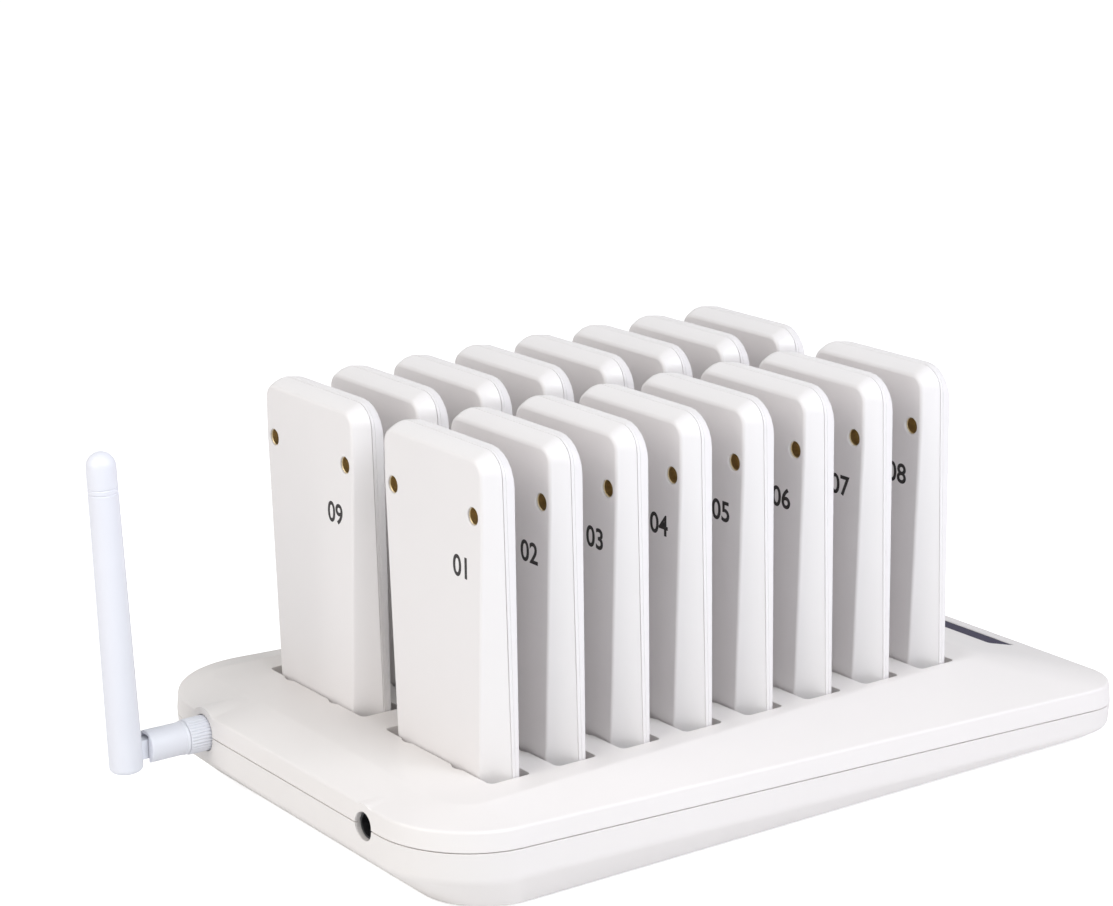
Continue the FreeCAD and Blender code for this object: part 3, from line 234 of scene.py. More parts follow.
def loft(bm, outlines):
    """Bridge outlines of the same count into a closed skin, and return each outline's edges."""
    loops = [ring(bm, points) for points in outlines]
    for one, other in zip(loops, loops[1:]):
        bmesh.ops.bridge_loops(bm, edges=one + other)
    bmesh.ops.edgeloop_fill(bm, edges=loops[0])
    bmesh.ops.edgeloop_fill(bm, edges=loops[-1])
    bmesh.ops.recalc_face_normals(bm, faces=bm.faces)
    return loops


def lofted(outlines):
    bm = bmesh.new()
    loft(bm, outlines)
    return bm


print("points of a square with round corners:", len(rounded([(0, 0, 1), (9, 0, 1), (9, 9, 1), (0, 9, 1)])))

# %% [markdown]
# ## Turned shapes
# Screws, feet, the jack's sleeve and the antenna are round about one axis. Half of their section is
# spun about Z, as on a lathe, and then laid where it belongs.

# %% Turned shapes
def turned(profile, steps=48):
    """(radius, height) points spun about Z."""
    bm = bmesh.new()
    verts = [bm.verts.new((radius, 0, height)) for radius, height in profile]
    for pair in zip(verts, verts[1:]):
        bm.edges.new(pair)
    bmesh.ops.spin(bm, geom=bm.verts[:] + bm.edges[:], cent=(0, 0, 0), axis=(0, 0, 1), angle=math.tau,
                   steps=steps, use_merge=True)
    bmesh.ops.remove_doubles(bm, verts=bm.verts, dist=0.001)
    bmesh.ops.recalc_face_normals(bm, faces=bm.faces)
    return bm


def laid(bm, matrix):
    bmesh.ops.transform(bm, matrix=matrix, verts=bm.verts)
    return bm


def gathered(shapes):
    """Several bmeshes as one."""
    whole = bmesh.new()
    for shape in shapes:
        mesh = bpy.data.meshes.new("part_of_shape")
        shape.to_mesh(mesh)
        shape.free()
        whole.from_mesh(mesh)
        bpy.data.meshes.remove(mesh)
    return whole


washer = turned([(1, 0), (2, 0), (2, 1), (1, 1), (1, 0)])
print("faces of a turned washer:", len(washer.faces))
washer.free()

# %% [markdown]
# ## Carving and softening
# Holes are booleans, and a few edges get a bevel by weight. Both are modifiers in Blender, so a shape
# becomes a blank object for a moment, and its evaluated mesh comes back. A cutter is a little wider
# at its mouth, so that the rim comes out rounded without a bevel.

# %% Carving and softening
def blank(bm):
    """An object in millimetres that only serves until its shape is done."""
    mesh = bpy.data.meshes.new("blank")
    bm.to_mesh(mesh)
    bm.free()
    thing = bpy.data.objects.new("blank", mesh)
    bpy.context.scene.collection.objects.link(thing)
    return thing


def settled(thing):
    """The shape of a blank with its modifiers done, as a bmesh. The blank goes."""
    evaluated = thing.evaluated_get(bpy.context.evaluated_depsgraph_get())
    mesh = bpy.data.meshes.new_from_object(evaluated)
    bm = bmesh.new()
    bm.from_mesh(mesh)
    bpy.data.meshes.remove(mesh)
    bpy.data.meshes.remove(thing.data)
    return bm


def carved(bm, tools):
    """The shape after each (operation, tool) pair."""
    for operation, tool in tools:
        thing, cutter = blank(bm), blank(tool)
        step = thing.modifiers.new("carve", "BOOLEAN")
        step.operation = operation
        step.solver = "EXACT"
        step.object = cutter
        bm = settled(thing)
        bpy.data.meshes.remove(cutter.data)
    return bm


def softened(bm, width, segments):
    """Round the edges that have a bevel weight."""
    thing = blank(bm)
    step = thing.modifiers.new("soften", "BEVEL")
    step.width = width
    step.segments = segments
    step.limit_method = "WEIGHT"
    step.use_clamp_overlap = False
    return settled(thing)


disc, drill = (turned([(0, low), (radius, low), (radius, high), (0, high)]) for radius, low, high in
               ((2, 0, 2), (1, -1, 3)))
disc = carved(disc, [("DIFFERENCE", drill)])
disc.free()

# %% [markdown]
# ## From a shape to a piece
# One function finishes every shape: metres, smooth shading with creases, a finish, the body that it
# rides on and the CAD nodes that it stands for. Its origin stays at the frame's, so that the patterns
# of the finishes run through from piece to piece.

# %% A finished piece
def piece(bm, name, finish, body, stands_for=(), crease=40):
    """The finished piece in metres, smooth but for its creases, riding on its body."""
    bmesh.ops.scale(bm, vec=(MM, MM, MM), verts=bm.verts)
    mesh = bpy.data.meshes.new(name)
    bm.to_mesh(mesh)
    bm.free()
    mesh.shade_smooth()
    mesh.set_sharp_from_angle(angle=math.radians(crease))
    thing = bpy.data.objects.new(name, mesh)
    bpy.context.scene.collection.objects.link(thing)
    mesh.materials.clear()
    mesh.materials.append(finish)
    even = thing.modifiers.new("even_normals", "WEIGHTED_NORMAL")
    even.keep_sharp = True
    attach(thing, body)
    if stands_for:
        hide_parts(*stands_for)
    return thing


# %% [markdown]
# ## Where things are
# The base's own numbers repeat the CAD model's, in millimetres. Its back end is read from the packed
# bottom cover, so everything that hangs on the base follows the frame.

# %% Sizes of the base
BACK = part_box("bottom_cover")[0].x / MM
LENGTH, HALF_WIDTH, PLATEAU = 257.0, 84.5, 28.5
KEYPAD = BACK + LENGTH
PLATEAU_BACK, PLATEAU_KEYPAD = BACK + 16.5, KEYPAD - 41.5
# The parting line's height and the upper edge's, each at the back end and at the keypad end.
PARTING, EDGE = (20.7, 10.8), (26.5, 17.2)
EDGE_INSET = 0.5
AXIS = 20.6
JACK_Y, JACK_HOLE = -48.5, 4.05
ANTENNA_Y, ANTENNA_HOLE = 41.5, 5.6
SLOT_DEPTH = 14.0
FIRST_FRONT, PITCH, ROW = BACK + 34.5, 22.5, 33.1
PAGERS = [(row * 8 + column + 1, FIRST_FRONT + PITCH * column, side * ROW)
          for row, side in enumerate((-1, 1)) for column in range(8)]
print("base from x", round(BACK, 2), "to", round(KEYPAD, 2))

# %% [markdown]
# ## A pager's front shell
# Each pager is two mouldings screwed together. The front one has a flat face with a broad bevel all
# round. The bevel widens towards the foot, because the sides of the face draw in, it swells to a
# full round at the top, and the seam behind it leans forward. A cube with bevelled edges could not do
# that, but a loft through a few outlines can: each knows how far the bevel has closed there. The
# edge round the face is softer at the top than along the sides, so it gets a bevel weight per edge.
# The last outline makes one wall of the seam's groove.

# %% Pager front shell
WIDTH, TALL, THICK = 53.5, 106.4, 9.9
HOLE_HEIGHT, HOLE_Y = 88.5, 20.15
CONTACT_Y = 13.3
SEAM, LEAN = 7.35, 0.018
# Turns a shape along Z to face -X: its origin is then at the face, its depth along +X.
FACE_ON = Matrix.Rotation(math.radians(90), 4, "Y")


def pager_outline(depth, corner, inset=0.0, foot=0.0, top=0.0, end=0.0, lean=0.0):
    """The outline at one depth. foot, top and end say how far the sides and the upper edge draw in."""
    half_foot = WIDTH / 2 - inset - foot
    half_top = WIDTH / 2 - inset - top
    sides = [(half_foot + (half_top - half_foot) * share, HOLE_HEIGHT * share)
             for share in (0.25, 0.5, 0.75, 0.9, 1)]
    right = [(half_foot, inset, 3.0)] + [(y, z, 0) for y, z in sides] + [(half_top, TALL - inset - end, corner)]
    left = [(-y, z, reach) for y, z, reach in reversed(right)]
    return [Vector((depth - lean * p.y, p.x, p.y)) for p in rounded(right + left)]


def swelling(share):
    """The outline at a share of the way from the face to the seam."""
    left = 1 - share
    return pager_outline(SEAM * share, 4.2 + 2.8 * share, 0.0, 6.7 * left, 2.4 * left ** 1.2, 2.3 * left ** 1.5,
                         LEAN * share)


def front_shell():
    bm = bmesh.new()
    weight = bm.edges.layers.float.new("bevel_weight_edge")
    loops = loft(bm, [swelling(share) for share in (0, 0.12, 0.28, 0.5, 0.75, 0.976)]
                 + [pager_outline(SEAM, 6.7, 0.3, lean=LEAN)])
    for edge in loops[0]:
        height = (edge.verts[0].co.z + edge.verts[1].co.z) / 2
        edge[weight] = 0.5 + 0.5 * min(max((height - 45) / 50, 0), 1)
    bm = softened(bm, 0.85, segments=5)
    mouth = [(0, -1.0), (2.95, -1.0), (2.95, 0.0), (2.68, 0.06), (2.52, 0.24), (2.5, 0.5), (2.5, 5.4), (0, 5.4)]
    holes = [laid(turned(mouth, 32), Matrix.Translation((0, side * HOLE_Y, HOLE_HEIGHT)) @ FACE_ON)
             for side in (-1, 1)]
    return carved(bm, [("DIFFERENCE", gathered(holes))])


front_form = blank(front_shell()).data
print("front shell:", len(front_form.polygons), "faces")

# %% [markdown]
# ## A pager's rear shell
# The rear moulding is a shallow tray. It meets the front at the seam, which shows as a dark line
# because both edges fall into a groove, and a finer line runs beside it. The upper corners get
# rounder towards the back, and the rim turns over to the flat back. All of it is one loft.

# %% Pager rear shell
def rear_shell():
    bm = bmesh.new()
    weight = bm.edges.layers.float.new("bevel_weight_edge")
    levels = ((0.0, 6.7, 0.3), (0.15, 7.0, 0.0), (1.0, 7.5, 0.0), (1.1, 7.5, 0.13), (1.2, 7.7, 0.0))
    outlines = [pager_outline(SEAM + step, corner, inset, lean=LEAN) for step, corner, inset in levels]
    outlines += [pager_outline(THICK - 0.85, 9.4, 0.04), pager_outline(THICK, 9.8, 0.6)]
    for edge in loft(bm, outlines)[-1]:
        edge[weight] = 1.0
    return softened(bm, 0.25, segments=2)


rear_form = blank(rear_shell()).data
print("rear shell:", len(rear_form.polygons), "faces")

# %% [markdown]
# ## Screws and contacts
# A small brass-plated screw sits deep in each hole, inside a thin brass collar, so the hole looks
# tan where light gets in and dark brown below. The head has a cross recess, cut here by two crossed
# blocks. At the foot two nickel contacts meet the pins of the slot.

# %% Screws and contacts
def block(length, width, height, middle):
    """A plain cutter block."""
    bm = bmesh.new()
    place = Matrix.Translation(middle) @ Matrix.Diagonal((length, width, height, 1))
    bmesh.ops.create_cube(bm, size=1.0, matrix=place)
    return bm


def screw(head_radius, head, shank_radius, reach, recess):
    """A cross-head screw along Z, its head's face at 0 and its point at reach."""
    edge = head * 0.25
    profile = [(0, 0), (head_radius - edge, 0), (head_radius, edge), (head_radius, head), (shank_radius, head),
               (shank_radius, reach - shank_radius), (0, reach)]
    arm, bar = head_radius * 1.25, head_radius * 0.3
    return carved(turned(profile, 32), [("DIFFERENCE", block(arm, bar, recess * 2, (0, 0, 0))),
                                        ("DIFFERENCE", block(bar, arm, recess * 2, (0, 0, 0)))])


collar = turned([(2.5, -3.5), (2.36, -3.35), (2.36, 0.1), (2.5, 0.1), (2.5, -3.5)], 32)
pager_screw = blank(laid(gathered([screw(2.34, 1.2, 0.8, 4.4, 0.7), collar]), FACE_ON)).data
contact_form = blank(turned([(0, 0.0), (1.35, 0.0), (1.6, 0.2), (1.6, 1.5), (0, 1.5)], 32)).data
print("screw:", len(pager_screw.polygons), "faces, contact:", len(contact_form.polygons), "faces")

# %% [markdown]
# ## Numbers
# The pagers carry plain numbers, printed near the edge that shows when they stand in a row. A picture
# could be laid on each pager, but a text curve needs none. It becomes a thin mesh before it is
# placed, so that it moves with its pager.

# %% Numbers
def copy_of(mesh, move):
    """A fresh bmesh of a mesh, moved."""
    bm = bmesh.new()
    bm.from_mesh(mesh)
    return laid(bm, Matrix.Translation(move))


def settled_text(thing):
    """The words of a text object as a bmesh. The text goes."""
    bpy.context.view_layer.update()
    mesh = bpy.data.meshes.new_from_object(thing.evaluated_get(bpy.context.evaluated_depsgraph_get()))
    bm = bmesh.new()
    bm.from_mesh(mesh)
    bmesh.ops.remove_doubles(bm, verts=bm.verts, dist=0.0005)
    bmesh.ops.recalc_face_normals(bm, faces=bm.faces)
    bpy.data.meshes.remove(mesh)
    bpy.data.curves.remove(thing.data)
    return bm


def lettering(words, height, matrix, align="CENTER", weight=0.0):
    """Words as a thin film of ink. height is a capital's, in millimetres."""
    curve = bpy.data.curves.new("lettering", "FONT")
    curve.body = words
    curve.size = height / 0.73
    curve.align_x = align
    curve.extrude = 0.02
    curve.offset = weight
    thing = bpy.data.objects.new("lettering", curve)
    bpy.context.scene.collection.objects.link(thing)
    return laid(settled_text(thing), matrix)


# Words that face -X: they run towards -Y and stand up along Z.
FACING_BACK = Matrix(((0, 0, -1, 0), (-1, 0, 0, 0), (0, 1, 0, 0), (0, 0, 0, 1)))
NUMBER_HEIGHT, NUMBER_EDGE, NUMBER_LINE = 6.2, 18.5, 70.0
print("numbers:", NUMBER_HEIGHT, "mm tall, at", NUMBER_LINE, "mm above the foot")

# %% [markdown]
# ## The sixteen pagers
# Every pager is the same set of shapes at its own slot, so one loop makes them. Each piece rides on
# its pager's body and stands for the CAD shells, which MuJoCo keeps for collision.

# %% Set the pagers in their slots
for number, x, y in PAGERS:
    name = "pager_%02d" % number
    foot = Vector((x, y, PLATEAU - SLOT_DEPTH))
    piece(copy_of(front_form, foot), name + "_front", pager_abs, name, [name + "_front_shell"])
    piece(copy_of(rear_form, foot), name + "_rear", pager_abs, name, [name + "_rear_assembly"])
    for end, side in (("a", -1), ("b", 1)):
        hole = foot + Vector((4.2, side * HOLE_Y, HOLE_HEIGHT))
        piece(copy_of(pager_screw, hole), "%s_screw_%s" % (name, end), brass_plate, name)
        piece(copy_of(contact_form, foot + Vector((THICK / 2, side * CONTACT_Y, -0.02))),
              "%s_contact_%s" % (name, end), nickel_plate, name)
    line = Matrix.Translation(foot + Vector((0, -NUMBER_EDGE, NUMBER_LINE)))
    digits = lettering("%02d" % number, NUMBER_HEIGHT, line @ FACING_BACK, "RIGHT", 0.16)
    piece(digits, name + "_number", print_ink, name)
print("pagers:", len(PAGERS))

# %% [markdown]
# ## The base's top cover
# The casing is a wedge with a flat plateau for the pagers, a band that slopes down all round, and a
# long slope for the keypad. Three outlines give it: the parting line, the rim and the plateau. The
# creases differ: crisp along the sides and the back, soft round the corners at the keypad. So extra
# outlines ease each crease by its own reach.

# %% Outside of the top cover
def rim(inset, height_back, height_keypad):
    """The casing's outline at a level that falls from the back end to the keypad end."""
    half, fall = HALF_WIDTH - inset, (height_keypad - height_back) / LENGTH
    corners = [(BACK + inset, -half, 28.0 - inset), (KEYPAD - inset, -half, 16.0 - inset),
               (KEYPAD - inset, half, 16.0 - inset), (BACK + inset, half, 36.0 - inset)]
    return [Vector((p.x, p.y, height_back + fall * (p.x - BACK))) for p in rounded(corners, 16)]


def parting_line(inset, rise=0.0):
    return rim(inset, PARTING[0] + rise, PARTING[1] + rise)


def plateau(height, inset=0.0):
    """The plateau's outline, narrower at the keypad end."""
    half_back, half_keypad = HALF_WIDTH - 14.0 - inset, HALF_WIDTH - 24.0 - inset
    near, far = PLATEAU_BACK + inset, PLATEAU_KEYPAD - inset
    corners = [(near, -half_back, 10.0 - inset), (far, -half_keypad, 8.0 - inset),
               (far, half_keypad, 8.0 - inset), (near, half_back, 8.0 - inset)]
    return [Vector((p.x, p.y, height)) for p in rounded(corners, 16)]


def eased(before, crease, after, reach, steps=5):
    """Outlines that round a crease: each leaves it by reach on one side and joins by reach on the other."""
    outlines = []
    for step in range(steps + 1):
        t = step / steps
        outline = []
        for a, c, b in zip(before, crease, after):
            away = reach(c)
            start, end = c + (a - c).normalized() * away, c + (b - c).normalized() * away
            outline.append(start * (1 - t) ** 2 + c * 2 * t * (1 - t) + end * t * t)
        outlines.append(outline)
    return outlines


def crease_reach(point):
    """Crisp along the sides and the back, softer round the corners at the keypad."""
    crisp, soft = 0.7, 2.6
    at_keypad = max(1 - abs(point.x - PLATEAU_KEYPAD) / 11, 0) * min(max((abs(point.y) - 50) / 8, 0), 1)
    return crisp + soft * at_keypad


def top_outside():
    parting, edge_line, crease = parting_line(0), rim(EDGE_INSET, *EDGE), plateau(PLATEAU)
    return lofted([parting_line(0.1), parting_line(0.0, 0.1)]
                  + eased(parting, edge_line, crease, lambda point: 0.9, 4)
                  + eased(edge_line, crease, plateau(PLATEAU, 6.0), crease_reach, 6))


cover = top_outside()
print("top cover outside:", len(cover.faces), "faces")

# %% [markdown]
# ## Arches over the two holes
# The antenna's nut and the power jack are taller than the back edge, so the cover rises over each in
# a small arch that runs out into the slope. Booleans would leave a hard crease there. Instead the
# back band is sliced finely, and its points are lifted to a soft maximum of the slope and the arch.

# %% Raise the arches
ARCHES = [(ANTENNA_Y, 7.7), (JACK_Y, 6.4)]


def sliced(bm, way, places, low, high):
    """Cut the faces whose middle lies in a range of X by planes square to X or Y."""
    for place in places:
        near = [f for f in bm.faces if low.x <= f.calc_center_median().x <= high.x
                and min(v.co.y for v in f.verts) < high.y and max(v.co.y for v in f.verts) > low.y
                and max(v.co.z for v in f.verts) > 21]
        near += list({e for f in near for e in f.edges} | {v for f in near for v in f.verts})
        bmesh.ops.bisect_plane(bm, geom=near, dist=0.0001, plane_co=way * place, plane_no=way)


def arch_lift(point, middle, radius, blend=0.6):
    """How far the arch lifts a point of the slope, with a soft foot."""
    off = abs(point.y - middle)
    top = AXIS + math.sqrt(max(radius * radius - off * off, 0)) - max(off - radius, 0) * 4
    overlap = max(blend - abs(top - point.z), 0) / blend
    return max(top - point.z, 0) + overlap * overlap * blend / 4


for middle, radius in ARCHES:
    low, high = Vector((BACK - 1, middle - radius - 3, 0)), Vector((PLATEAU_BACK - 0.2, middle + radius + 3, 0))
    across = [middle + 0.45 * i for i in range(-22, 23) if abs(0.45 * i) < radius + 2]
    sliced(cover, Vector((0, 1, 0)), across, low, high)
    sliced(cover, Vector((1, 0, 0)), [BACK + 1.4 + 0.7 * i for i in range(21)], low, high)
    for vert in cover.verts:
        if vert.co.x < PLATEAU_BACK + 0.5 and abs(vert.co.y - middle) < radius + 3 and vert.co.z > 23:
            fade = min(max((PLATEAU_BACK - vert.co.x) / 5, 0), 1)
            vert.co.z += arch_lift(vert.co, middle, radius) * fade
print("top cover with arches:", len(cover.faces), "faces")

# %% [markdown]
# ## Slots
# The cover is hollow, with a well for every slot. Each slot follows its pager closely in front, with
# two shallow notches, and leaves a wider gap behind. Boxes would cut them faster, but the cutters are
# lofts that flare at the mouth, so that each rim comes out rounded.

# %% Cutters for slots and pins
FLARE = ((-0.30, 0.0), (-0.12, 0.06), (-0.02, 0.2), (0.01, 0.3), (2.0, 0.3))


def slot_outline(x, y, z, grow):
    half, front, back = 27.1 + grow, x - 0.5 - grow, x + 13.0 + grow
    corners = [(back, half, 1.3 + grow), (front, half, 1.6 + grow)]
    for side in (1, -1):
        outer, inner = (17.8, 16.2) if side > 0 else (-7.9, -9.5)
        corners += [(front, outer + grow, 0.85), (front - 0.95, inner + grow, 0.85)]
        outer, inner = (12.4, 14.0) if side > 0 else (-13.3, -11.7)
        corners += [(front - 0.95, inner - grow, 0.85), (front, outer - grow, 0.85)]
    corners += [(front, -half, 1.6 + grow), (back, -half, 1.3 + grow)]
    return [Vector((p.x, p.y + y, z)) for p in rounded(corners, 5)]


def slot_cutter(x, y):
    levels = [(PLATEAU - SLOT_DEPTH, 0.0)] + [(PLATEAU + rise, grow) for rise, grow in FLARE]
    return lofted([slot_outline(x, y, z, grow) for z, grow in levels])


def pin_cutter(x, y):
    return laid(turned([(0, -3.5), (1.1, -3.5), (1.1, 1.0), (0, 1.0)], 20),
                Matrix.Translation((x + THICK / 2, y, PLATEAU - SLOT_DEPTH)))


print("slots:", len(PAGERS), "each", SLOT_DEPTH, "mm deep")

# %% [markdown]
# ## Openings in the panel
# The panel falls by about fifteen degrees towards the keypad end. Keys and window are placed on it
# flat, by millimetres down the slope and across, and one matrix lays them on the slope. Each could be
# turned on its own, but this way caps, legends and cutters keep to one plane.

# %% Cutters for the panel
ANGLE = math.atan((PLATEAU - EDGE[1]) / (KEYPAD - PLATEAU_KEYPAD - EDGE_INSET))
PANEL = Matrix.Translation((PLATEAU_KEYPAD, 0, PLATEAU)) @ Matrix.Rotation(ANGLE, 4, "Y")
WINDOW_DOWN, WINDOW_ACROSS = 27.8, -22.0
KEYS = [(label, 9.0 + 11.5 * row, 10.0 + 12.0 * column)
        for row, labels in enumerate((("1", "2", "3", "clear"), ("4", "5", "6", "0"), ("7", "8", "9", "call")))
        for column, label in enumerate(labels)]


def panel_outline(down, across, length, width, corner, z):
    corners = [(down + sx * length / 2, across + sy * width / 2, corner)
               for sx, sy in ((-1, -1), (1, -1), (1, 1), (-1, 1))]
    return [Vector((p.x, p.y, z)) for p in rounded(corners, 5)]


def panel_cutter(down, across, length, width, corner, depth):
    levels = [(-depth, 0.0)] + list(FLARE)
    return laid(lofted([panel_outline(down, across, length + 2 * grow, width + 2 * grow, corner + grow, rise)
                        for rise, grow in levels]), PANEL)


print("panel's slope:", round(math.degrees(ANGLE), 1), "degrees, keys:", len(KEYS))

# %% [markdown]
# ## Carving the top cover
# The outside is hollowed first. The wells are added, and then everything that goes through is cut:
# slots, pins, key holes, the window's seat and its way through, and the two round holes at the back.
# The order matters, because a well that came after its slot would fill it again.

# %% Carve the top cover
def end_cutter(radius, y, reach):
    """A round hole through the back end, its mouth a little wider."""
    profile = [(0, -2.0), (radius + 0.12, -2.0), (radius + 0.12, 0.3), (radius + 0.03, 0.4), (radius, 0.6),
               (radius, reach), (0, reach)]
    return laid(turned(profile, 64), Matrix.Translation((BACK, y, AXIS)) @ FACE_ON)


def end_holes():
    return gathered([end_cutter(ANTENNA_HOLE, ANTENNA_Y, 18), end_cutter(JACK_HOLE, JACK_Y, 8)])


WELL = (17.3, 56.8, 14.6)
wells = gathered([block(*WELL, (x + THICK / 2 + 0.7, y, PLATEAU - SLOT_DEPTH + 5.9)) for _, x, y in PAGERS])
slots = gathered([slot_cutter(x, y) for _, x, y in PAGERS])
pins = gathered([pin_cutter(x, y + side * CONTACT_Y) for _, x, y in PAGERS for side in (-1, 1)])
openings = gathered([panel_cutter(down, across, 9.2, 10.0, 1.8, 4.0) for _, down, across in KEYS]
                    + [panel_cutter(WINDOW_DOWN, WINDOW_ACROSS, 11.8, 40.4, 1.0, 1.6)])
window_way = panel_cutter(WINDOW_DOWN, WINDOW_ACROSS, 8.2, 36.8, 0.8, 4.5)
inside = lofted([parting_line(2.2, -1.0), rim(2.7, 24.3, 15.0), plateau(PLATEAU - 2.4)])

cover = carved(cover, [("DIFFERENCE", inside), ("UNION", wells), ("DIFFERENCE", slots), ("DIFFERENCE", pins),
                       ("DIFFERENCE", openings), ("DIFFERENCE", window_way), ("DIFFERENCE", end_holes())])
piece(cover, "top_cover_moulding", cover_abs, "base", ["top_cover"], crease=32)
print("top cover done")

# %% [markdown]
# ## The base's bottom cover
# Under the parting line the casing turns in by a broad bevel to a flat bottom, with a recess for
# each foot and a bore for each screw. Where the two covers meet, the lower one steps back, which
# leaves a shadow gap: the thin dark line that runs all round.

# %% Bottom cover
def bottom(inset, height):
    """The outline of the flat underside."""
    half = HALF_WIDTH - 4.5 - inset
    corners = [(BACK + 12.0 + inset, -half, 20.0), (KEYPAD - 7.0 - inset, -half, 12.0),
               (KEYPAD - 7.0 - inset, half, 12.0), (BACK + 12.0 + inset, half, 27.0)]
    return [Vector((p.x, p.y, height)) for p in rounded(corners, 16)]


# The shadow gap between the covers.
GAP = 0.35


def bottom_outside():
    flat, turn, parting = bottom(0, 1.5), rim(0.6, 11.4, 3.6), parting_line(0, -0.1 - GAP)
    return lofted(eased(bottom(6, 1.5), flat, turn, lambda point: 0.8, 3)
                  + eased(flat, turn, parting, lambda point: 1.6, 4)
                  + [parting, parting_line(0.1, -GAP), parting_line(1.0, 0.05 - GAP), parting_line(1.05)])


MIDDLE = BACK + LENGTH / 2
FEET = [(x, side * 52.5) for side in (-1, 1) for x in (BACK + 32, MIDDLE, KEYPAD - 32)]
SCREWS = [(x, side * y) for side in (-1, 1) for x, y in
          ((BACK + 22, 62.5), (MIDDLE - LENGTH / 6, 72.5), (MIDDLE + LENGTH / 6, 72.5), (KEYPAD - 15, 69.5))]


def seat_height(x):
    """Where a case screw's head seats, five millimetres under the parting line."""
    return PARTING[0] + (PARTING[1] - PARTING[0]) * (x - BACK) / LENGTH - 5.0


def round_cutter(radius, low, high, x, y):
    return laid(turned([(0, low), (radius, low), (radius, high), (0, high)], 40), Matrix.Translation((x, y, 0)))


recesses = gathered([round_cutter(6.1, 0, 2.5, x, y) for x, y in FEET])
bores = gathered([round_cutter(2.95, 0, seat_height(x), x, y) for x, y in SCREWS])
bosses = gathered([round_cutter(4.75, 3.0, seat_height(x) + 4.0, x, y) for x, y in SCREWS])
tray = lofted([bottom(2.2, 3.7), rim(2.8, 11.4, 5.9), parting_line(2.2, 1.0)])
under = carved(bottom_outside(), [("DIFFERENCE", tray), ("UNION", bosses), ("DIFFERENCE", recesses),
                                  ("DIFFERENCE", bores), ("DIFFERENCE", end_holes())])
piece(under, "bottom_cover_moulding", cover_abs, "base", ["bottom_cover"], crease=32)
print("bottom cover done")

# %% [markdown]
# ## Feet and case screws
# Six rubber feet are pressed into their recesses, and eight zinc screws hold the covers together.
# Plain cylinders would do at a distance. Turned shapes cost no more, and one profile gives the feet
# the rounded rim and the shallow dish of pressed rubber.

# %% Feet and case screws
for number, (x, y) in enumerate(FEET, start=1):
    foot = turned([(0, 0.25), (3.6, 0.2), (4.6, 0.0), (5.3, 0.0), (5.8, 0.2), (6.0, 0.7), (6.0, 2.5), (0, 2.5)])
    piece(laid(foot, Matrix.Translation((x, y, 0))), "rubber_foot_%d" % number, foot_rubber, "base",
          ["rubber_feet"])
case_screw = blank(screw(2.8, 1.8, 1.5, 11.8, 1.1)).data
for number, (x, y) in enumerate(SCREWS, start=1):
    piece(copy_of(case_screw, Vector((x, y, seat_height(x) - 1.8))), "case_screw_%d" % number, zinc_plate,
          "base", ["case_screws"])
print("feet:", len(FEET), "case screws:", len(SCREWS))

# %% [markdown]
# ## Keys
# Twelve caps come up through the panel: ten digits, one that clears and one that calls. A cap is a
# loft through a flange, which keeps it in, a straight body, and a crown with a slight dish for the
# fingertip. The legends are printed: digits, a cross for clear and a triangle for call.

# %% Keys with their legends
def key_cap(down, across):
    body, flange, levels = (8.6, 9.4), 0.5, []
    for z, grow, corner in ((-3.2, flange, 0.8), (-2.4, flange, 0.8), (-2.39, 0, 1.5), (0.85, 0, 1.5),
                            (1.05, -0.08, 1.45), (1.17, -0.22, 1.35), (1.2, -0.42, 1.2), (1.12, -1.4, 1.0),
                            (1.02, -2.6, 0.6)):
        levels.append(panel_outline(down, across, body[0] + 2 * grow, body[1] + 2 * grow, corner, z))
    return laid(lofted(levels), PANEL)


def sign(label):
    """A cross or a triangle as a thin film, drawn flat about the origin, its top towards +Y."""
    if label == "clear":
        return gathered([laid(block(4.2, 0.8, 0.04, (0, 0, 0)), Matrix.Rotation(math.radians(turn), 4, "Z"))
                         for turn in (45, -45)])
    bm = bmesh.new()
    bmesh.ops.create_circle(bm, cap_ends=True, segments=3, radius=2.3)
    bmesh.ops.solidify(bm, geom=bm.faces[:], thickness=0.04)
    bmesh.ops.recalc_face_normals(bm, faces=bm.faces)
    return bm


# Legends are read from the keypad end: they run towards +Y, and their top points up the slope.
READING = Matrix(((0, -1, 0, 0), (1, 0, 0, 0), (0, 0, 1, 0), (0, 0, 0, 1)))
for label, down, across in KEYS:
    body = "key_%s_cap" % label
    piece(key_cap(down, across), "key_%s_button" % label, key_silicone, body, ["key_" + label])
    spot = PANEL @ Matrix.Translation((down, across, 1.05)) @ READING
    if label in ("clear", "call"):
        legend = laid(sign(label), spot)
    else:
        legend = lettering(label, 4.0, spot @ Matrix.Translation((0, -2.0, 0)))
    piece(legend, "key_%s_legend" % label, print_ink, body)
print("keys:", len(KEYS))

# %% [markdown]
# ## Window
# The window is a slip of smoked acrylic set flush in the panel. A box would do, but a loft also gives
# it the small bevel of a polished edge. The display module below it stays as the CAD model has it.

# %% Window
def window_lens():
    levels = [(-1.6, 0.0), (-0.42, 0.0), (-0.27, -0.05), (-0.2, -0.2)]
    return laid(lofted([panel_outline(WINDOW_DOWN, WINDOW_ACROSS, 11.4 + 2 * grow, 40.0 + 2 * grow, 0.9, z)
                        for z, grow in levels]), PANEL)


piece(window_lens(), "display_window_lens", window_acrylic, "base", ["display_window"])
print("window done")

# %% [markdown]
# ## Power jack
# A round socket for a barrel plug sits behind its hole: a black sleeve with a nickel pin in its
# middle. The square body behind it is lofted. The sleeve is turned, because its soft lip is then a
# few points of the profile, where a drilled cylinder would need a bevel.

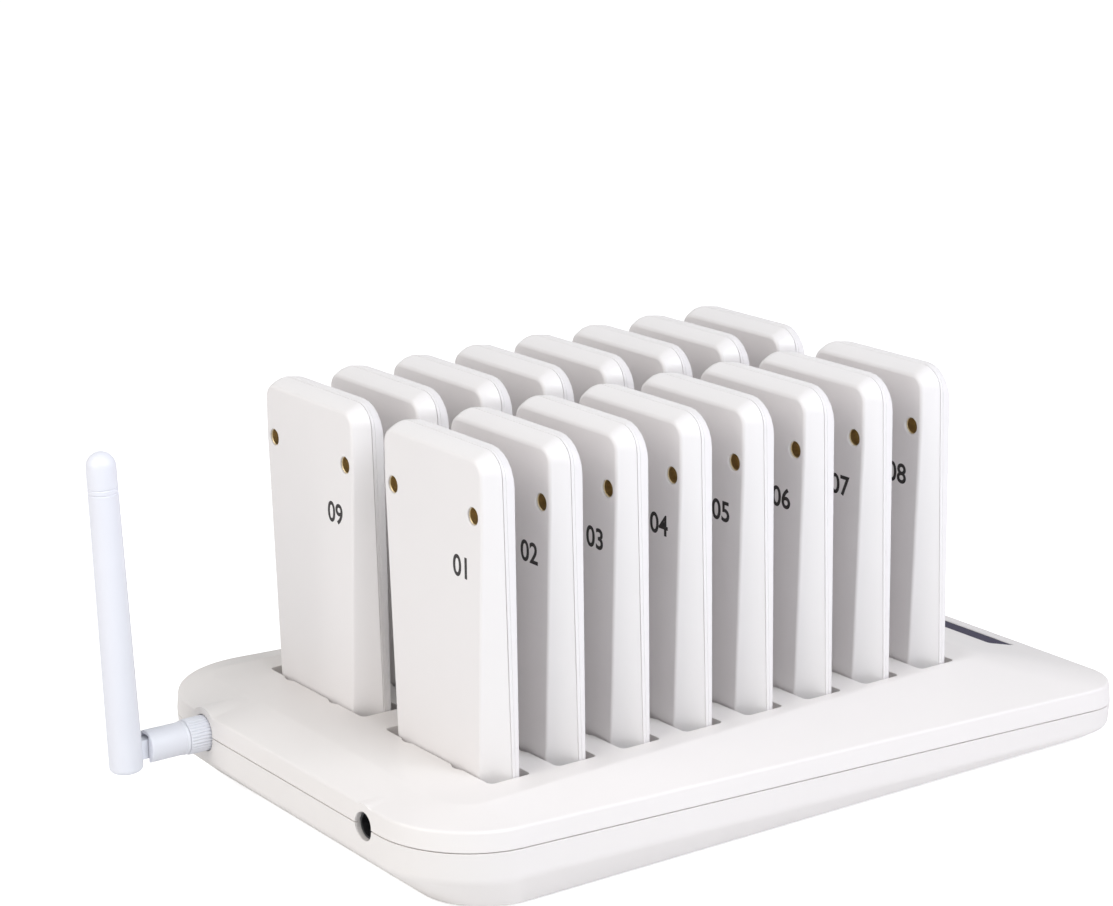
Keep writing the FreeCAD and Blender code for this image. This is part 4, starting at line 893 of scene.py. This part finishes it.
# %% Power jack
NOSE = BACK + 1.5
sleeve = turned([(3.15, 0.35), (3.25, 0.1), (3.45, 0), (3.7, 0), (3.85, 0.2), (3.85, 8.0), (3.15, 8.0),
                 (3.15, 0.35)], 64)
square = rounded([(-4.3, -4.5, 0.6), (4.3, -4.5, 0.6), (4.3, 4.5, 0.6), (-4.3, 4.5, 0.6)], 3)
housing = lofted([[Vector((p.x, p.y, z)) for p in square] for z in (8.0, 20.3)])
drill = turned([(0, 7.5), (3.15, 7.5), (3.15, 9.5), (0, 9.5)], 64)
housing = carved(housing, [("DIFFERENCE", drill)])
at_jack = Matrix.Translation((NOSE, JACK_Y, AXIS)) @ FACE_ON
piece(laid(gathered([sleeve, housing]), at_jack), "power_jack_socket", jack_black, "base",
      ["power_jack"])
pin = turned([(0, 1.5), (0.55, 1.6), (0.9, 1.95), (1.0, 2.4), (1.0, 9.5), (0, 9.5)], 32)
piece(laid(pin, at_jack), "power_jack_pin", nickel_plate, "base", ["power_jack"])
print("jack's face is", round(NOSE - BACK, 2), "mm behind the back end")

# %% [markdown]
# ## Antenna nut
# A stub antenna screws on by a knurled nut, swivels in it, and folds at an elbow. The nut's grooves
# are made on one circle: every fourth point is drawn in, and the ring is then lofted along the axis.

# %% Antenna nut
def knurled_outline(radius, depth, z):
    """A circle of teeth, three points on each crest and one in each root."""
    flat = bmesh.new()
    bmesh.ops.create_circle(flat, segments=128, radius=radius)
    flat.verts.ensure_lookup_table()
    roots = [v for i, v in enumerate(flat.verts) if i % 4 == 0]
    shares = (radius - depth) / radius
    bmesh.ops.scale(flat, vec=(shares, shares, 1), verts=roots)
    points = [Vector((v.co.x, v.co.y, z)) for v in flat.verts]
    flat.free()
    return points


def antenna_nut():
    bm = lofted([knurled_outline(r, d, z) for r, d, z in (
        (5.1, 0.0, 0.0), (5.36, 0.3, 0.25), (5.36, 0.36, 9.8), (5.2, 0.1, 10.15), (5.12, 0.0, 10.2),
        (5.12, 0.0, 10.3), (5.02, 0.0, 10.4))])
    bore = turned([(0, -1), (3.18, -1), (3.18, 7.0), (2.58, 7.0), (2.58, 11), (0, 11)], 48)
    return carved(bm, [("DIFFERENCE", bore)])


face_away = Matrix.Rotation(math.radians(-90), 4, "Y")
at_nut = Matrix.Translation((BACK + 4.0, ANTENNA_Y, AXIS)) @ face_away
piece(laid(antenna_nut(), at_nut), "antenna_nut_knurled", nut_plastic, "antenna_nut_body",
      ["antenna_nut"], crease=50)
print("nut done")

# %% [markdown]
# ## Antenna elbow
# The elbow's neck turns in the nut. Its barrel is slotted from its end and from below, where the
# mast's tongue swings down, so its top stays whole. Two cheeks could be joined to a neck, but one
# turned piece cut by one block has no seams. A rivet through both cheeks is the hinge.

# %% Antenna elbow and hinge pin
# The elbow's neck reaches into the nut; a shoulder and the slotted barrel follow it.
NECK, SHOULDER, BARREL = 2.6, 1.6, 12.4
NUT_END = BACK - 5.1
ELBOW_START = NUT_END + NECK
PIN_X = NUT_END - SHOULDER - BARREL + 4.2
MAST_OFF = 10.8
ACROSS = Matrix.Rotation(math.radians(90), 4, "X")


def pin_hole():
    """The hinge pin's hole, along Y."""
    return laid(turned([(0, -4), (1.16, -4), (1.16, 4), (0, 4)], 32), ACROSS)


def antenna_elbow():
    end = NECK + SHOULDER + BARREL
    bm = turned([(0, 0), (2.5, 0), (2.5, 4.0), (4.95, 4.0), (5.06, 4.1), (5.06, 4.9), (4.98, 5.05), (4.9, 5.1),
                 (4.98, end - 0.5), (4.92, end - 0.2), (4.8, end - 0.06), (4.6, end), (0, end)], 64)
    laid(bm, Matrix.Translation((ELBOW_START, ANTENNA_Y, AXIS)) @ face_away)
    fork = block(9.6, 4.4, 9.9, (PIN_X - 0.4, ANTENNA_Y, AXIS - 1.05))
    hole = laid(pin_hole(), Matrix.Translation((PIN_X, ANTENNA_Y, AXIS)))
    return carved(bm, [("DIFFERENCE", fork), ("DIFFERENCE", hole)])


piece(antenna_elbow(), "antenna_elbow_barrel", sleeve_plastic, "elbow", ["antenna_elbow"])
rivet = turned([(0, -3.9), (0.8, -3.9), (1.1, -3.7), (1.1, 3.7), (0.8, 3.9), (0, 3.9)], 32)
piece(laid(rivet, Matrix.Translation((PIN_X, ANTENNA_Y, AXIS)) @ ACROSS), "antenna_hinge_rivet",
      zinc_plate, "elbow", ["antenna_hinge_pin"])
print("elbow's hinge is", round(BACK - PIN_X, 2), "mm out from the back end")

# %% [markdown]
# ## Antenna mast
# The sleeve tapers a little to a round tip, below which two fine rings run. Cut rings would need
# booleans, but one turned profile holds taper, rings and tip. A tongue at its foot goes into the
# elbow. The whole leans back by two degrees, as it stands in the photograph.

# %% Antenna mast
def mast_profile():
    """(radius, height) about the mast's own axis, heights from the hinge pin."""
    low, high, foot, top = -5.6, 91.4, 5.05, 4.4
    points = [(0, low)]
    points += [(foot - 1.6 + 1.6 * math.sin(a), low + 1.6 - 1.6 * math.cos(a))
               for a in [math.radians(15 * i) for i in range(7)]]
    straight = high - top
    for ring_low in (80.0 - 0.75, 80.0 + 0.75):
        here = foot + (top - foot) * (ring_low - low) / (straight - low)
        points += [(here, ring_low - 0.3), (here - 0.22, ring_low - 0.12), (here - 0.22, ring_low + 0.12),
                   (here, ring_low + 0.3)]
    points += [(top * math.cos(a), straight + top * math.sin(a))
               for a in [math.radians(9 * i) for i in range(10)]]
    return points + [(0, high)]


def antenna_mast():
    shaft = laid(turned(mast_profile(), 64), Matrix.Translation((-MAST_OFF, 0, 0)))
    corners = [(-MAST_OFF, -2.9, 0), (3.2, -2.9, 2.85), (3.2, 2.9, 2.85), (-MAST_OFF, 2.9, 0)]
    tongue = lofted([[Vector((p.x, y, p.y)) for p in rounded(corners, 10)] for y in (-1.9, 1.9)])
    bm = carved(shaft, [("UNION", tongue), ("DIFFERENCE", pin_hole())])
    lean = Matrix.Rotation(math.radians(-2), 4, "Y")
    return laid(bm, Matrix.Translation((PIN_X, ANTENNA_Y, AXIS)) @ lean)


piece(antenna_mast(), "antenna_mast_sleeve", sleeve_plastic, "mast", ["antenna_mast"])
print("antenna done")

# %% [markdown]
# ## Nodes that stay as the CAD model has them
# The boards, the radio can, the display module and the antenna's socket have the right shapes
# already, and little of them shows. They keep their CAD meshes and only get their finishes.

# %% Finishes for the CAD nodes that stay
for node, finish in (("main_board", board_green), ("charging_board", board_green),
                     ("keypad_board", board_green), ("radio_module", tin_plate),
                     ("display_module", display_glass), ("antenna_socket", nickel_plate)):
    thing = frame["nodes"][node]
    thing.data.materials.clear()
    thing.data.materials.append(finish)
    print(node, "->", finish.name)

# %% [markdown]
# ## Floor and background
# The object stands on a plain white floor, which glows a little for the camera only, so that it looks
# as white as the photograph's background and still takes a shadow. A white world lights the object
# softly from all sides, and is full white where the camera or a reflection sees it.

# %% Floor
floor_mesh = bpy.data.meshes.new("floor")
floor_shape = bmesh.new()
bmesh.ops.create_grid(floor_shape, x_segments=1, y_segments=1, size=6.0)
floor_shape.to_mesh(floor_mesh)
floor_shape.free()
floor = bpy.data.objects.new("floor", floor_mesh)
bpy.context.scene.collection.objects.link(floor)
paper = new_finish("floor_white_paper")
seen = add_node(paper, "ShaderNodeLightPath").outputs["Is Camera Ray"]
sheet = add_node(paper, "ShaderNodeBsdfDiffuse", {"Color": colour("#F4F4F4")})
glow = add_node(paper, "ShaderNodeEmission", {"Color": (1, 1, 1, 1), "Strength": 0.75})
dark = add_node(paper, "ShaderNodeEmission", {"Color": (0, 0, 0, 1), "Strength": 0.0})
lift = add_node(paper, "ShaderNodeMixShader", {"Fac": seen})
paper.node_tree.links.new(dark.outputs[0], lift.inputs[1])
paper.node_tree.links.new(glow.outputs[0], lift.inputs[2])
both = add_node(paper, "ShaderNodeAddShader")
paper.node_tree.links.new(sheet.outputs[0], both.inputs[0])
paper.node_tree.links.new(lift.outputs[0], both.inputs[1])
add_node(paper, "ShaderNodeOutputMaterial", {"Surface": both.outputs[0]})
floor_mesh.materials.append(paper)
print("floor:", round(floor.dimensions.x, 1), "m wide")

# %% World
world = bpy.data.worlds.new("white_studio")
bpy.context.scene.world = world
world.use_nodes = True
world.node_tree.nodes.clear()
path = add_node(world, "ShaderNodeLightPath")
camera_or_gloss = add_node(world, "ShaderNodeMath", {0: path.outputs["Is Camera Ray"],
                                                     1: path.outputs["Is Glossy Ray"]}, operation="MAXIMUM")
background = add_node(world, "ShaderNodeMath", {0: camera_or_gloss.outputs[0],
                                                1: path.outputs["Is Transmission Ray"]}, operation="MAXIMUM")
strength = add_node(world, "ShaderNodeMapRange", {"Value": background.outputs[0], "To Min": 0.3, "To Max": 1.0})
sky = add_node(world, "ShaderNodeBackground", {"Color": (1, 1, 1, 1), "Strength": strength.outputs["Result"]})
add_node(world, "ShaderNodeOutputWorld", {"Surface": sky.outputs[0]})
print("world:", world.name)

# %% [markdown]
# ## Lamps
# Four large lamps do the rest: a cool key high over the near side, two warm fills behind the back
# end, one high and one low, that reach into the gaps between the pagers, and a weak one beside the
# keypad. Their levels come from weighing each lamp's own picture against the photograph's tones.

# %% Lamps
LAMP_AIM, LAMP_SIZE = (0, 0, 0.05), 0.9


def lamp(name, place, watts, tint):
    light = bpy.data.lights.new(name, "AREA")
    light.shape = "DISK"
    light.size = LAMP_SIZE
    light.energy = watts
    light.color = tint
    thing = bpy.data.objects.new(name, light)
    thing.location = place
    thing.rotation_euler = (Vector(LAMP_AIM) - Vector(place)).to_track_quat("-Z", "Y").to_euler()
    bpy.context.scene.collection.objects.link(thing)


lamp("key_softbox", (0.15, -0.95, 0.95), 10.6, (0.89, 0.95, 1.0))
lamp("fill_softbox", (-0.95, 0.0, 0.95), 5.8, (1.0, 0.97, 0.965))
lamp("low_softbox", (-1.35, -0.1, 0.3), 4.2, (1.0, 0.985, 0.96))
lamp("side_softbox", (0.9, -0.9, 0.6), 3.7, (0.92, 0.83, 1.0))
print("lamps:", len(bpy.data.lights))

# %% [markdown]
# ## Camera
# The camera could be placed by eye, but then every edge would run off a little. Its place and lens
# come from solving the photograph's perspective on the base's edges, with a small shift because the
# view was cropped.

# %% Camera
# The view's size in pixels, and the point of it that the lens looks straight at.
VIEW_WIDTH, VIEW_HEIGHT, LEVEL_POINT = 1113, 906, (480.0, 390.0)
camera_data = bpy.data.cameras.new("camera")
camera_data.sensor_width = 36.0
camera_data.lens = 94.152
camera_data.shift_x = (VIEW_WIDTH / 2 - LEVEL_POINT[0]) / VIEW_WIDTH
camera_data.shift_y = (LEVEL_POINT[1] - VIEW_HEIGHT / 2) / VIEW_WIDTH
camera_data.clip_start, camera_data.clip_end = 0.01, 50.0
camera = bpy.data.objects.new("camera", camera_data)
camera.location = Vector((-492.94, -681.43, 322.86)) * MM
camera.rotation_euler = [math.radians(a) for a in (76.2094, 1.0912, -33.9580)]
bpy.context.scene.collection.objects.link(camera)
bpy.context.scene.camera = camera
bpy.context.scene.view_settings.view_transform = "Standard"
print("camera at", [round(c, 3) for c in camera.location])

# %% [markdown]
# ## Clearing away
# The blank and lettering objects that served only while the shapes were made are removed.

# %% Remove the blanks
for thing in [o for o in bpy.data.objects if o.name.startswith("blank") or o.name.startswith("lettering")]:
    bpy.data.objects.remove(thing)
